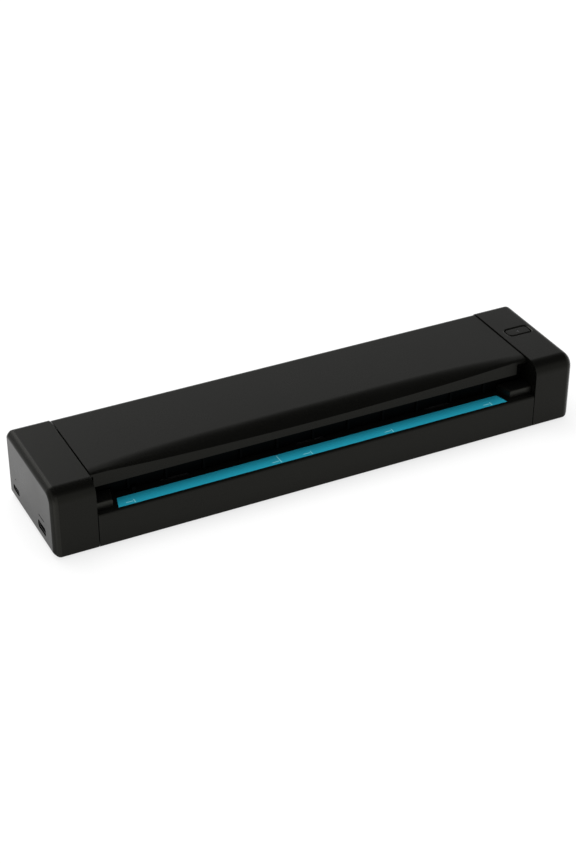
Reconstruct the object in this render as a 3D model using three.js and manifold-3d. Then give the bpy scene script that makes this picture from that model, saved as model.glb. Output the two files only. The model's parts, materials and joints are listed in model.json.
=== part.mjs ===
// A portable sheetfed scanner, in millimetres: X runs along its length, the front faces -Y, and Z is up.
// The origin is under the middle of the scanner, at the height of the table.

import * as THREE from 'three';
import { mergeVertices } from 'three/addons/utils/BufferGeometryUtils.js';
import Module from 'manifold-3d';

const wasm = await Module();
wasm.setup();

// The outline of the body, seen from its end.
const frontTopRadius = 7.5;
const backTopRadius = 3.8;
const backBottomRadius = 2.2;
const frontBottomRadius = 1.2;
const endChamfer = 3;
const innerChamferShare = 0.5;

// Walls, and the clearances that every piece shares.
const wall = 1.8;
const seam = 0.4;
const fit = 0.3;
const pressFit = 0.1;
const runningFit = 0.08;
const overrun = 5;
const weld = 0.5;
const footProud = 1;

// The paper path: its width and middle, and the room in front of it, beside it and over it.
const guideLength = 229;
const pathCentre = -2;
const sideMargin = 13.8;
const entryDepth = 19.5;
const paperGap = 1.3;

// The end covers.
const coverWidth = 24;

// The tray under the paper path.
const lipRise = 0.5;
const lipRadius = 1.5;
const exitDrop = 0.5;
const frameThickness = 2;
const ribThickness = 1.5;
const ribOutset = 2.5;
const ribCount = 4;
const endWallDrop = 0.8;

// The entry guide, its side blocks and the coloured strip in it.
const guideThickness = 1.8;
const blockSetback = 4;
const blockReach = 4;
const swingClearance = 1;
const blockHeight = 4.9;
const blockClearance = 2.3;
const blockRadius = 0.9;
const taperShare = 0.25;
const stripSetback = 8.7;
const stripThickness = 0.8;

// The lid.
const lidDrop = 0.5;
const lidWall = 2;
const mouthSlope = 2.3;
const mouthHeight = 10.5;
const bandHeight = 4.4;
const bandOverhang = 9.7;
const bevelDrop = 4.3;
const bevelEndDrop = 0.6;
const bevelDepth = 5.7;
const bevelEndDepth = 5.3;
const bevelRunOut = 3.4;
const slotHeight = 4.2;
const hingeInset = 6;
const hingeDrop = 7.5;

// The rollers.
const shaftRadius = 2.5;
const tyreRadius = 5.5;
const tyreWidth = 16;
const tyreChamfer = 0.5;
const tyreProud = 0.2;
const tyreInset = 36.5;
const tyreCount = 3;
const pinchRadius = 4;
const pinchWidth = 10;
const pinchAxleRadius = 1.2;
const pinchEndRoom = 11;
const rollerClearance = 0.6;

// The gears.
const gearModule = 0.7;
const rollerTeeth = 18;
const idlerTeeth = 24;
const fineModule = 0.5;
const wheelTeeth = 44;
const pinionTeeth = 11;
const gearWidth = 4;
const wheelWidth = 3;
const layerGap = 0.5;
const wheelClearance = 0.7;
const backlash = 0.08;
const idlerAxleRadius = 1.5;
const motorShaftRadius = 1;
const motorAngle = THREE.MathUtils.degToRad(144);
const pressureAngle = THREE.MathUtils.degToRad(20);
const dedendumShare = 1.25;
const flankShare = 1.1;

// The bracket that holds the motor, on posts round the gears.
const standoffRadius = 1.8;
const standoffGap = 1.2;
const bracketMargin = 2.5;
const bracketRoom = 4.5;

// How finely round shapes are divided.
const arcSteps = 5;
const roundSides = 16;
const smallSides = 10;
const mergeDistance = 1e-4;

// How far the tips of a gear's teeth are from its axis.
function tipRadius(teeth, size) {
  return (teeth * size) / 2 + size;
}

// Heights, from the table up.
const bodyBottom = footProud;
const coverFloor = bodyBottom + wall;
const wheelTip = tipRadius(wheelTeeth, fineModule);
const axisHeight = coverFloor + wheelClearance + wheelTip;
const paperHeight = axisHeight + tyreRadius - tyreProud;
const guideTop = paperHeight;
const guideBottom = guideTop - guideThickness;
const pinchHeight = paperHeight + tyreProud + fit + pinchRadius;
const lidUnder = paperHeight + paperGap - pressFit * 2;
const bandBottom = paperHeight + mouthHeight;
const lidTop = bandBottom + bandHeight + bevelDrop;
const bodyTop = lidTop + lidDrop;
const hingeHeight = lidTop - hingeDrop;

// Places across the depth, from the front to the back.
const axisSpacing = gearModule * (rollerTeeth + idlerTeeth);
const standoffReach = tipRadius(rollerTeeth, gearModule) + standoffGap + standoffRadius;
const exitDepth = standoffReach + bracketMargin + bracketRoom + fit + wall;
const depth = entryDepth + axisSpacing + exitDepth;
const front = -depth / 2;
const back = depth / 2;
const frontInside = front + wall + fit;
const backInside = back - wall - fit;
const feedLine = front + entryDepth;
const exitLine = feedLine + axisSpacing;
const scanLine = (feedLine + exitLine) / 2;
const upperBend = feedLine - pinchRadius - rollerClearance - fit;
const bandFace = upperBend - mouthSlope - lidWall - fit;
const blockFront = front + blockSetback;
const blockBack = bandFace + blockReach;
const hingeLine = back - hingeInset;

// Places along the length, from the middle out.
const middleEnd = guideLength / 2 + sideMargin;
const coverInner = middleEnd + seam;
const length = (middleEnd + seam / 2 + coverWidth) * 2;
const frameInner = middleEnd + fit;
const frameOuter = frameInner + frameThickness;
const blockInner = guideLength / 2 + blockClearance;
const lidSideInner = middleEnd - lidWall;
const bevelHalf = guideLength / 2 + bevelRunOut;

// Turns a closed geometry into a solid, with its faces pointing out.
function solid(geometry) {
  const bare = geometry.index ? geometry.clone() : geometry;
  bare.deleteAttribute('normal');
  bare.deleteAttribute('uv');
  const merged = mergeVertices(bare, mergeDistance);
  const points = merged.attributes.position;
  const [a, b, c, cross] = [0, 0, 0, 0].map(() => new THREE.Vector3());
  const faces = [];
  let volume = 0;
  for (let i = 0; i < merged.index.count; i += 3) {
    const corners = [0, 1, 2].map((k) => merged.index.getX(i + k));
    if (new Set(corners).size < 3) continue;
    [a, b, c].forEach((v, k) => v.fromBufferAttribute(points, corners[k]));
    volume += a.dot(cross.crossVectors(b, c));
    faces.push(corners);
  }
  const outward = volume > 0 ? faces : faces.map((corners) => corners.reverse());
  return new wasm.Manifold(new wasm.Mesh({
    numProp: 3,
    vertProperties: new Float32Array(points.array),
    triVerts: new Uint32Array(outward.flat()),
  }));
}

// Rounds the corners of an outline: each corner is [across, up, radius].
function rounded(corners) {
  return corners.flatMap(([across, up, radius = 0], i) => {
    const corner = new THREE.Vector2(across, up);
    if (radius <= 0) return [corner];
    const toLast = new THREE.Vector2(...corners.at(i - 1)).sub(corner).normalize();
    const toNext = new THREE.Vector2(...corners[(i + 1) % corners.length]).sub(corner).normalize();
    const half = toLast.angleTo(toNext) / 2;
    const centre = toLast.clone().add(toNext).normalize().multiplyScalar(radius / Math.sin(half)).add(corner);
    const start = toLast.multiplyScalar(radius / Math.tan(half)).add(corner).sub(centre);
    const end = toNext.multiplyScalar(radius / Math.tan(half)).add(corner).sub(centre);
    const turn = Math.atan2(start.cross(end), start.dot(end));
    return Array.from({ length: arcSteps + 1 }, (_, k) =>
      start.clone().rotateAround(new THREE.Vector2(), (turn * k) / arcSteps).add(centre));
  });
}

// The axes that an outline is drawn in and pulled along.
const alongX = new THREE.Matrix4().makeBasis(
  new THREE.Vector3(0, 1, 0), new THREE.Vector3(0, 0, 1), new THREE.Vector3(1, 0, 0));
const alongY = new THREE.Matrix4().makeBasis(
  new THREE.Vector3(1, 0, 0), new THREE.Vector3(0, 0, 1), new THREE.Vector3(0, -1, 0));
const alongZ = new THREE.Matrix4();

// Along Y, but slanting inwards towards the back on one side of the paper path.
function slantingAlongY(side) {
  return new THREE.Matrix4().makeBasis(
    new THREE.Vector3(1, 0, 0), new THREE.Vector3(0, 0, 1), new THREE.Vector3(side * taperShare, -1, 0));
}

// Pulls an outline from one place to another along an axis. Along Y, places are counted towards the front.
function pull(outline, axes, from, to, holes = []) {
  const shape = new THREE.Shape(outline);
  shape.holes = holes.map((hole) => new THREE.Path(hole));
  const geometry = new THREE.ExtrudeGeometry(shape, { depth: to - from, bevelEnabled: false });
  return solid(geometry.translate(0, 0, from).applyMatrix4(axes));
}

function block([x0, x1], [y0, y1], [z0, z1]) {
  const geometry = new THREE.BoxGeometry(x1 - x0, y1 - y0, z1 - z0);
  return solid(geometry.translate((x0 + x1) / 2, (y0 + y1) / 2, (z0 + z1) / 2));
}

// The two ends of a stretch, put in rising order.
function ordered(a, b) {
  return [Math.min(a, b), Math.max(a, b)];
}

function centred(middle, width) {
  return [middle - width / 2, middle + width / 2];
}

// A round bar along X, centred on the line at y and z.
function bar(radius, [x0, x1], y, z, sides = roundSides) {
  const geometry = new THREE.CylinderGeometry(radius, radius, x1 - x0, sides);
  return solid(geometry.rotateZ(-Math.PI / 2).translate((x0 + x1) / 2, y, z));
}

// A round post along Z.
function post(radius, x, y, [z0, z1], sides = roundSides) {
  const geometry = new THREE.CylinderGeometry(radius, radius, z1 - z0, sides);
  return solid(geometry.rotateX(Math.PI / 2).translate(x, y, (z0 + z1) / 2));
}

// A ring turned about the line at y and z: each point of its section is [radius, x].
function turned(section, y, z, sides = roundSides) {
  const closed = [...section, section[0]].map(([radius, x]) => new THREE.Vector2(radius, x));
  const geometry = new THREE.LatheGeometry(closed, sides);
  return solid(geometry.rotateZ(-Math.PI / 2).translate(0, y, z));
}

// Joins sections of equal point counts, each a list of points in space, into one closed solid.
function loft(given) {
  const flat = (section) => section.map((point) => new THREE.Vector2(point.y, point.z));
  const clockwise = THREE.ShapeUtils.isClockWise(flat(given[0]));
  const sections = clockwise ? given.map((section) => [...section].reverse()) : given;
  const count = sections[0].length;
  const positions = sections.flat().flatMap((point) => point.toArray());
  const faces = [];
  for (let s = 0; s < sections.length - 1; s += 1) {
    for (let k = 0; k < count; k += 1) {
      const here = s * count + k;
      const beside = s * count + ((k + 1) % count);
      faces.push(here, beside, here + count, beside, beside + count, here + count);
    }
  }
  const lastStart = (sections.length - 1) * count;
  THREE.ShapeUtils.triangulateShape(flat(sections[0]), []).forEach(([a, b, c]) => faces.push(c, b, a));
  THREE.ShapeUtils.triangulateShape(flat(sections.at(-1)), [])
    .forEach(([a, b, c]) => faces.push(lastStart + a, lastStart + b, lastStart + c));
  const geometry = new THREE.BufferGeometry();
  geometry.setAttribute('position', new THREE.Float32BufferAttribute(positions, 3));
  geometry.setIndex(faces);
  return solid(geometry);
}

function join(...solids) {
  return solids.reduce((sum, next) => sum.add(next));
}

function cut(from, ...tools) {
  return tools.reduce((rest, tool) => rest.subtract(tool), from);
}

function range(count) {
  return Array.from({ length: count }, (_, k) => k);
}

// Places spread evenly along the paper path, the outer two drawn in from its ends.
function spread(count, inset) {
  const reach = guideLength / 2 - inset;
  return range(count).map((k) => pathCentre - reach + (k * reach * 2) / (count - 1));
}

const tyrePlaces = spread(tyreCount, tyreInset);
const pinchEnd = tyrePlaces.at(-1) - pathCentre + pinchWidth / 2 + pinchEndRoom;

// The outline of the body, seen from its end and drawn in by an inset.
function bodyOutline(inset, top = bodyTop - inset) {
  const least = wall / 4;
  return rounded([
    [front + inset, bodyBottom + inset, Math.max(frontBottomRadius - inset, least)],
    [back - inset, bodyBottom + inset, Math.max(backBottomRadius - inset, least)],
    [back - inset, top, Math.max(backTopRadius - inset, least)],
    [front + inset, top, Math.max(frontTopRadius - inset, least)],
  ]);
}

// The end covers: a cap over each end, open towards the middle.

const coverScrewInset = 4.2;
const coverScrewEdge = 7;
const screwHeadRadius = 2.2;
const screwHeadHeight = 1.3;
const screwShankRadius = 1.1;
const screwLength = 7;
const screwSink = 0.3;
const screwBossRadius = 3.5;
const screwBossHeight = 1.6;
const screwBlockHeight = 6;

const coverScrewPlaces = [-1, 1].flatMap((side) =>
  [front + coverScrewEdge, back - coverScrewEdge].map((y) =>
    [side * (frameOuter + coverScrewInset - fit), y]));
const screwSeat = bodyBottom + screwSink + screwHeadHeight;

// A cover's form, drawn in by an inset, with a slanting rim round its closed end.
function coverForm(side, inset, from, chamfer) {
  const end = length / 2 - inset;
  const places = [[from, inset], [end - chamfer, inset], [end, inset + chamfer]];
  return loft(places.map(([x, drawnIn]) =>
    bodyOutline(drawnIn).map((point) => new THREE.Vector3(side * x, point.x, point.y))));
}

function endCover(side) {
  const outside = coverForm(side, 0, coverInner, endChamfer);
  const inside = coverForm(side, wall, coverInner - overrun, endChamfer * innerChamferShare);
  const screws = coverScrewPlaces.filter(([x]) => x * side > 0);
  const bosses = screws.map(([x, y]) =>
    post(screwBossRadius, x, y, [coverFloor - weld, coverFloor + screwBossHeight], smallSides));
  const holes = screws.flatMap(([x, y]) => [
    post(screwHeadRadius + fit, x, y, [bodyBottom - overrun, screwSeat], smallSides),
    post(screwShankRadius + fit, x, y, [bodyBottom, coverFloor + screwBossHeight + overrun], smallSides),
  ]);
  return cut(join(cut(outside, inside), ...bosses), ...holes);
}

// The sockets in the left end: [middle across the depth, width and height of the opening].
const powerSocketInset = 12.2;
const powerSocketWidth = 9;
const powerSocketHeight = 3.4;
const dataSocketInset = 17.3;
const dataSocketWidth = 11;
const dataSocketHeight = 4.6;
const socketCorner = 1.2;
const socketDepth = 8;
const socketShell = 0.4;
const socketRecess = 0.5;
const tongueThickness = 0.8;
const boardThickness = 1.6;
const boardRise = 3.4;

const boardTop = coverFloor + boardRise + boardThickness;
const powerSocketLine = back - powerSocketInset;
const dataSocketLine = front + dataSocketInset;
const socketHeight = (height) => boardTop + (height - fit * 2) / 2;

function socketOutline(line, width, height, inset) {
  const middle = socketHeight(height);
  return rounded([
    [line - width / 2 + inset, middle - height / 2 + inset, socketCorner - inset],
    [line + width / 2 - inset, middle - height / 2 + inset, socketCorner - inset],
    [line + width / 2 - inset, middle + height / 2 - inset, socketCorner - inset],
    [line - width / 2 + inset, middle + height / 2 - inset, socketCorner - inset],
  ]);
}

// A metal socket shell with a tongue inside, open to the left.
function socket(line, width, height) {
  const mouth = -length / 2 + socketRecess;
  const inner = fit + socketShell;
  const shell = pull(socketOutline(line, width, height, fit), alongX, mouth, mouth + socketDepth);
  const hollow = pull(socketOutline(line, width, height, inner), alongX,
    mouth - overrun, mouth + socketDepth - socketShell * 2);
  const middle = socketHeight(height);
  const tongue = block([mouth + socketShell, mouth + socketDepth - socketShell],
    centred(line, width / 2), centred(middle, tongueThickness));
  return join(cut(shell, hollow), tongue);
}

const boardWidth = 13;
const boardPostRadius = 1.6;
const boardPostInset = 4.8;
const boardEdge = 0.6;
const boardInner = -length / 2 + wall + boardEdge + boardWidth;
const boardOuter = -length / 2 + wall + boardEdge;
const boardFront = dataSocketLine - dataSocketWidth / 2 - wall;
const boardBack = powerSocketLine + powerSocketWidth / 2 + wall;
const boardPostPlaces = [boardFront + boardPostInset, boardBack - boardPostInset].map((y) =>
  [(boardInner + boardOuter) / 2, y]);

function leftEndCover() {
  const openings = [
    socketOutline(dataSocketLine, dataSocketWidth, dataSocketHeight, 0),
    socketOutline(powerSocketLine, powerSocketWidth, powerSocketHeight, 0),
  ].map((outline) => pull(outline, alongX, -length / 2 - overrun, -length / 2 + overrun));
  const posts = boardPostPlaces.map(([x, y]) =>
    post(boardPostRadius, x, y, [coverFloor - weld, coverFloor + boardRise], smallSides));
  return join(cut(endCover(-1), ...openings), ...posts);
}

// The scan button and the board under it.

const buttonLength = 15;
const buttonWidth = 8.5;
const buttonCorner = 2.4;
const buttonGap = 0.25;
const buttonInset = 12.5;
const buttonSetback = 3.6;
const buttonSink = 0.1;
const buttonLip = 1;
const buttonLipThickness = 0.9;
const buttonTravel = 0.5;
const plungerRadius = 1.6;
const stemLength = 0.8;
const switchSize = 6;
const switchHeight = 1.8;
const plungerHeight = 0.5;
const buttonBoardThickness = 1;
const buttonBoardMargin = 9;
const buttonPostRadius = 1.4;
const buttonPostInset = 2.8;
const buttonPostSetback = 1.7;
const buttonBoardReach = 4.2;
const lensRadius = 0.9;
const lensDepth = 0.7;

const buttonX = length / 2 - buttonInset;
const buttonY = scanLine + buttonSetback;
const coverCeiling = bodyTop - wall;
const stemBottom = coverCeiling - fit - buttonLipThickness - stemLength;
const plungerTop = stemBottom - buttonTravel - pressFit;
const buttonBoardTop = plungerTop - plungerHeight - switchHeight;
const buttonBoardBack = buttonY + buttonWidth / 2 + buttonBoardReach;
const buttonPostPlaces = [-1, 1].map((side) =>
  [buttonX + side * (buttonLength / 2 - buttonPostInset), buttonBoardBack - buttonPostSetback]);

function buttonOutline(grow) {
  const halfLength = buttonLength / 2 + grow;
  const halfWidth = buttonWidth / 2 + grow;
  const radius = buttonCorner + grow;
  return rounded([
    [buttonX - halfLength, buttonY - halfWidth, radius],
    [buttonX + halfLength, buttonY - halfWidth, radius],
    [buttonX + halfLength, buttonY + halfWidth, radius],
    [buttonX - halfLength, buttonY + halfWidth, radius],
  ]);
}

function rightEndCover() {
  const opening = pull(buttonOutline(0), alongZ, coverCeiling - overrun, bodyTop + overrun);
  const posts = buttonPostPlaces.map(([x, y]) =>
    post(buttonPostRadius, x, y, [buttonBoardTop, coverCeiling + weld], smallSides));
  return join(cut(endCover(1), opening), ...posts);
}

function scanButton() {
  const lipTop = coverCeiling - fit;
  const lip = pull(buttonOutline(buttonLip), alongZ, lipTop - buttonLipThickness, lipTop);
  const cap = pull(buttonOutline(-buttonGap), alongZ, lipTop - buttonLipThickness / 2, bodyTop - buttonSink);
  const stem = post(plungerRadius, buttonX, buttonY,
    [stemBottom, lipTop - buttonLipThickness / 2], smallSides);
  const seat = post(lensRadius + pressFit, buttonX, buttonY,
    [bodyTop - buttonSink - lensDepth, bodyTop + overrun], smallSides);
  return cut(join(lip, cap, stem), seat);
}

function statusLens() {
  return post(lensRadius, buttonX, buttonY,
    [bodyTop - buttonSink - lensDepth, bodyTop - buttonSink], smallSides);
}

function buttonBoard() {
  const halfSwitch = switchSize / 2;
  const board = block(centred(buttonX, buttonLength),
    [buttonBoardBack - buttonWidth - buttonBoardMargin, buttonBoardBack],
    [buttonBoardTop - buttonBoardThickness, buttonBoardTop]);
  const body = block(centred(buttonX, halfSwitch * 2), centred(buttonY, halfSwitch * 2),
    [buttonBoardTop - buttonBoardThickness / 2, buttonBoardTop + switchHeight]);
  const plunger = post(plungerRadius, buttonX, buttonY, [buttonBoardTop, plungerTop], smallSides);
  return join(board, body, plunger);
}

// The contact image sensor module and its glass.

const moduleDepth = 14;
const moduleHeight = 12.4;
const moduleMargin = 1.5;
const glassThickness = 0.7;
const glassMargin = 1.2;
const glassDrop = 0.2;

const moduleTop = paperHeight - glassDrop - glassThickness;
const moduleBottom = moduleTop - moduleHeight;
const moduleHalf = guideLength / 2 + moduleMargin;
const moduleX = centred(pathCentre, moduleHalf * 2);
const moduleY = centred(scanLine, moduleDepth);

const lightSlotWidth = 4;
const lightSlotDepth = 2.5;
const lightSlotMargin = 4;

function scanModule() {
  const edge = glassMargin / 2;
  const housing = pull(rounded([
    [moduleY[0], moduleBottom], [moduleY[1], moduleBottom],
    [moduleY[1], moduleTop - edge], [moduleY[1] - edge, moduleTop],
    [moduleY[0] + edge, moduleTop], [moduleY[0], moduleTop - edge],
  ]), alongX, ...moduleX);
  const lightSlot = block([moduleX[0] + lightSlotMargin, moduleX[1] - lightSlotMargin],
    centred(scanLine, lightSlotWidth), [moduleTop - lightSlotDepth, moduleTop + overrun]);
  return cut(housing, lightSlot);
}

function scanGlass() {
  return block([moduleX[0] + glassMargin, moduleX[1] - glassMargin],
    [moduleY[0] + glassMargin, moduleY[1] - glassMargin], [moduleTop, moduleTop + glassThickness]);
}

// The flat cable from the sensor module to the main board.

const flexWidth = 8;
const flexThickness = 0.3;
const flexHeight = 9.8;
const plugLength = 5;
const plugWidth = 11;
const plugHeight = 2;
const chipSize = 8;
const chipHeight = 1.2;

function mainBoard() {
  const board = block([boardOuter, boardInner], [boardFront, boardBack],
    [boardTop - boardThickness, boardTop]);
  const plug = block([boardInner - plugLength, boardInner], centred(scanLine, plugWidth),
    [boardTop - boardThickness / 2, boardTop + plugHeight]);
  const chip = block([boardOuter + boardEdge, boardOuter + boardEdge + chipSize],
    centred(scanLine, chipSize), [boardTop - boardThickness / 2, boardTop + chipHeight]);
  const plugRoom = block([boardInner - plugLength - fit, boardInner], [front, back], [0, bodyTop]);
  return join(board, cut(chip, plugRoom), plug);
}

function scanFlex() {
  const plugFace = boardInner + fit;
  const moduleFace = moduleX[0] - fit;
  const low = boardTop + plugHeight / 2;
  const bend = flexHeight - low + flexThickness;
  const shift = flexThickness / 2;
  const outline = [
    [plugFace, low], [plugFace + bend, low], [plugFace + bend * 2, flexHeight], [moduleFace, flexHeight],
    [moduleFace, flexHeight + flexThickness],
    [plugFace + bend * 2 - shift, flexHeight + flexThickness],
    [plugFace + bend - shift, low + flexThickness],
    [plugFace, low + flexThickness],
  ].map(([x, z]) => new THREE.Vector2(x, z));
  return pull(outline, alongY, -scanLine - flexWidth / 2, -scanLine + flexWidth / 2);
}

// The tray: the open trough under the paper path, with a side plate inside each end cover.

const footRadius = 5;
const footSink = 0.6;
const footInset = 16;
const footEdge = 12;
const bushRadius = 4;
const bushFlangeRadius = 5.2;
const bushFlange = 0.8;
const shaftSlot = 3.4;

const footPlaces = [-1, 1].flatMap((side) =>
  [front + footEdge, back - footEdge].map((y) => [side * (middleEnd - footInset), y]));
const endWallTop = guideBottom - endWallDrop;

function troughOutline() {
  const inner = wall / 2;
  return rounded([
    [front, bodyBottom, frontBottomRadius],
    [back, bodyBottom, backBottomRadius],
    [back, guideTop - exitDrop, inner],
    [back - wall, guideTop - exitDrop],
    [back - wall, coverFloor, inner],
    [front + wall, coverFloor, inner],
    [front + wall, guideTop + lipRise],
    [front, guideTop + lipRise, lipRadius],
  ]);
}

function trayRib(x) {
  const plate = block(centred(x, ribThickness),
    [front + wall - weld, back - wall + weld], [coverFloor - weld, guideBottom]);
  const span = centred(x, ribThickness * 2);
  const moduleNotch = block(span, [moduleY[0] - fit, moduleY[1] + fit],
    [moduleBottom, guideBottom + overrun]);
  const shaftNotches = [feedLine, exitLine].map((line) =>
    block(span, centred(line, shaftSlot * 2), [axisHeight - shaftSlot, guideBottom + overrun]));
  return cut(plate, moduleNotch, ...shaftNotches);
}

function sidePlate(side) {
  const across = (from, to) => (side > 0 ? [from, to] : [-to, -from]);
  const outline = bodyOutline(wall + fit);
  const plate = pull(outline, alongX, ...across(frameInner, frameOuter));
  const endWall = block(across(middleEnd - ribThickness, middleEnd),
    [front + wall - weld, back - wall + weld], [coverFloor - weld, endWallTop]);
  const bridge = block(across(middleEnd - weld, frameInner + weld), [frontInside, backInside],
    [coverFloor + fit, endWallTop]);
  const stop = block(across(middleEnd - ribThickness, frameInner + weld),
    [feedLine, exitLine + shaftRadius], [endWallTop - weld, lidUnder - fit]);
  const screwBlocks = coverScrewPlaces.filter(([x]) => x * side > 0).map(([x, y]) => {
    const reach = Math.abs(x) + screwShankRadius * 2;
    const bottom = coverFloor + screwBossHeight;
    return block(across(frameOuter - weld, reach), centred(y, screwHeadRadius * 2),
      [bottom, bottom + screwBlockHeight]);
  });
  const screwHoles = coverScrewPlaces.filter(([x]) => x * side > 0).map(([x, y]) =>
    post(screwShankRadius + pressFit, x, y, [bodyBottom, screwSeat + screwLength + fit], smallSides));
  const through = across(middleEnd - overrun, frameOuter + overrun);
  const bushSeats = [feedLine, exitLine].map((line) => bar(bushRadius + pressFit, through, line, axisHeight));
  const hingeSeat = bar(hingePinRadius + pressFit, through, hingeLine, hingeHeight, smallSides);
  return cut(join(plate, endWall, bridge, stop, ...screwBlocks), ...screwHoles, ...bushSeats, hingeSeat);
}

function baseTray() {
  const trough = pull(troughOutline(), alongX, -middleEnd, middleEnd);
  const ribs = spread(ribCount, -ribOutset).map(trayRib);
  const footSeats = footPlaces.map(([x, y]) =>
    post(footRadius + pressFit, x, y, [bodyBottom - overrun, bodyBottom + footSink], roundSides));
  const flexSlot = block([-frameOuter - overrun, -middleEnd + overrun],
    centred(scanLine, flexWidth + fit * 2),
    [flexHeight - fit * 2, flexHeight + flexThickness + fit * 2]);
  const idlerSeat = bar(idlerAxleRadius + pressFit, [frameInner, frameOuter + overrun],
    scanLine, axisHeight, smallSides);
  const all = join(trough, ...ribs, sidePlate(-1), sidePlate(1));
  return cut(all, ...footSeats, flexSlot, idlerSeat);
}

function foot(x, y) {
  return post(footRadius, x, y, [0, bodyBottom + footSink]);
}

// A countersunk screw, driven up from below.
function coverScrew(x, y) {
  const head = post(screwHeadRadius, x, y, [bodyBottom + screwSink, screwSeat], smallSides);
  const shank = post(screwShankRadius, x, y, [screwSeat - weld, screwSeat + screwLength], smallSides);
  return join(head, shank);
}

// A flanged bush, pushed into the side plate from outside.
function bush(side, line) {
  const bore = shaftRadius + runningFit;
  const inner = side * (middleEnd - ribThickness);
  const flange = side * frameOuter;
  return turned([
    [bore, inner], [bushRadius, inner], [bushRadius, flange],
    [bushFlangeRadius, flange],
    [bushFlangeRadius, flange + side * bushFlange],
    [bore, flange + side * bushFlange],
  ], line, axisHeight);
}

// The paper guides between the rollers.

function tyreWindows(line) {
  const halfWidth = tyreWidth / 2 + rollerClearance;
  const drop = axisHeight - guideBottom;
  const halfChord = Math.sqrt(tyreRadius ** 2 - drop ** 2) + rollerClearance;
  return tyrePlaces.map((x) => block(centred(x, halfWidth * 2), centred(line, halfChord * 2),
    [guideBottom - overrun, guideTop + overrun]));
}

const leverInset = 12.5;
const leverThickness = 2;
const leverSlotLength = 9.6;
const leverAxleRadius = 0.8;
const leverAxleLength = 7;
const leverDrop = 3.6;
const leverReach = 6;
const leverWidth = 1.7;
const leverTilt = 1.2;
const leverHubRadius = 1.8;
const flagReach = 7;
const flagWidth = 3;
const earThickness = 1.4;

const stripFront = frontInside;
const stripBack = feedLine - stripSetback;
const leverX = pathCentre - guideLength / 2 + leverInset;
const leverLine = stripBack + leverHubRadius;
const leverHeight = guideTop - leverDrop;

// A block beside the mouth, whose inner face leads the paper in.
function sideBlock(side) {
  const outline = rounded([
    [blockFront, guideTop - weld],
    [blockBack, guideTop - weld],
    [blockBack, guideTop + blockHeight, blockRadius],
    [blockFront, guideTop + blockHeight, blockRadius],
  ]);
  const inner = pathCentre + side * blockInner;
  const backInner = inner - side * taperShare * (blockBack - blockFront);
  const outer = side * (middleEnd - pressFit);
  const form = pull(outline, alongX, ...ordered(backInner, outer));
  const edge = inner + side * taperShare * blockFront;
  const top = guideTop + blockHeight;
  const beyond = pull(rounded([
    [edge, 0],
    [edge, top - blockRadius],
    [edge + side * blockRadius, top],
    [edge + side * blockRadius, top + overrun],
    [edge - side * overrun, top + overrun],
    [edge - side * overrun, 0],
  ]), slantingAlongY(side), -back, -front);
  return cut(form, beyond);
}

function leverEars() {
  const reach = leverThickness / 2 + rollerClearance;
  return [-1, 1].map((side) => {
    const inner = leverX + side * reach;
    const outer = inner + side * earThickness;
    return block(ordered(inner, outer),
      centred(leverLine, leverHubRadius * 2), [leverHeight - leverHubRadius, guideBottom + weld]);
  });
}

// The outline of the strip, seen from above: its ends close in towards the back.
function stripOutline(from, to, grow) {
  const halfAt = (y) => guideLength / 2 + grow - taperShare * (y - stripFront);
  return [[-1, from], [1, from], [1, to], [-1, to]].map(([side, y]) =>
    new THREE.Vector2(pathCentre + side * halfAt(y), y));
}

function entryGuide() {
  const end = middleEnd - pressFit;
  const plate = block([-end, end], [frontInside, moduleY[0] - fit], [guideBottom, guideTop]);
  const stripSeat = pull(stripOutline(front, stripBack + pressFit, pressFit), alongZ,
    guideTop - stripThickness, guideTop + overrun);
  const endReliefs = [-1, 1].map((side) => {
    const inner = side * (middleEnd - ribThickness - fit);
    const outer = side * (end + overrun);
    return block(ordered(inner, outer), [feedLine - bushRadius - fit, back],
      [guideBottom - overrun, guideTop + overrun]);
  });
  const leverSlot = block(centred(leverX, leverThickness + fit * 2),
    [leverLine - leverHubRadius + fit, leverLine - leverHubRadius + leverSlotLength],
    [guideBottom - overrun, guideTop + overrun]);
  const bore = bar(leverAxleRadius + runningFit, centred(leverX, leverAxleLength * 2),
    leverLine, leverHeight, smallSides);
  const whole = join(plate, sideBlock(-1), sideBlock(1), ...leverEars());
  return cut(whole, stripSeat, ...endReliefs, ...tyreWindows(feedLine), leverSlot, bore);
}

function guideStrip() {
  return pull(stripOutline(stripFront, stripBack, 0), alongZ, guideTop - stripThickness, guideTop);
}

function exitGuide() {
  const end = middleEnd - ribThickness - fit;
  const outline = rounded([
    [moduleY[1] + fit, guideBottom], [backInside, guideBottom],
    [backInside, guideTop - exitDrop - pressFit],
    [exitLine + tyreRadius, guideTop - exitDrop / 2], [moduleY[1] + fit, guideTop - exitDrop / 2],
  ]);
  return cut(pull(outline, alongX, -end, end), ...tyreWindows(exitLine));
}

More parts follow.
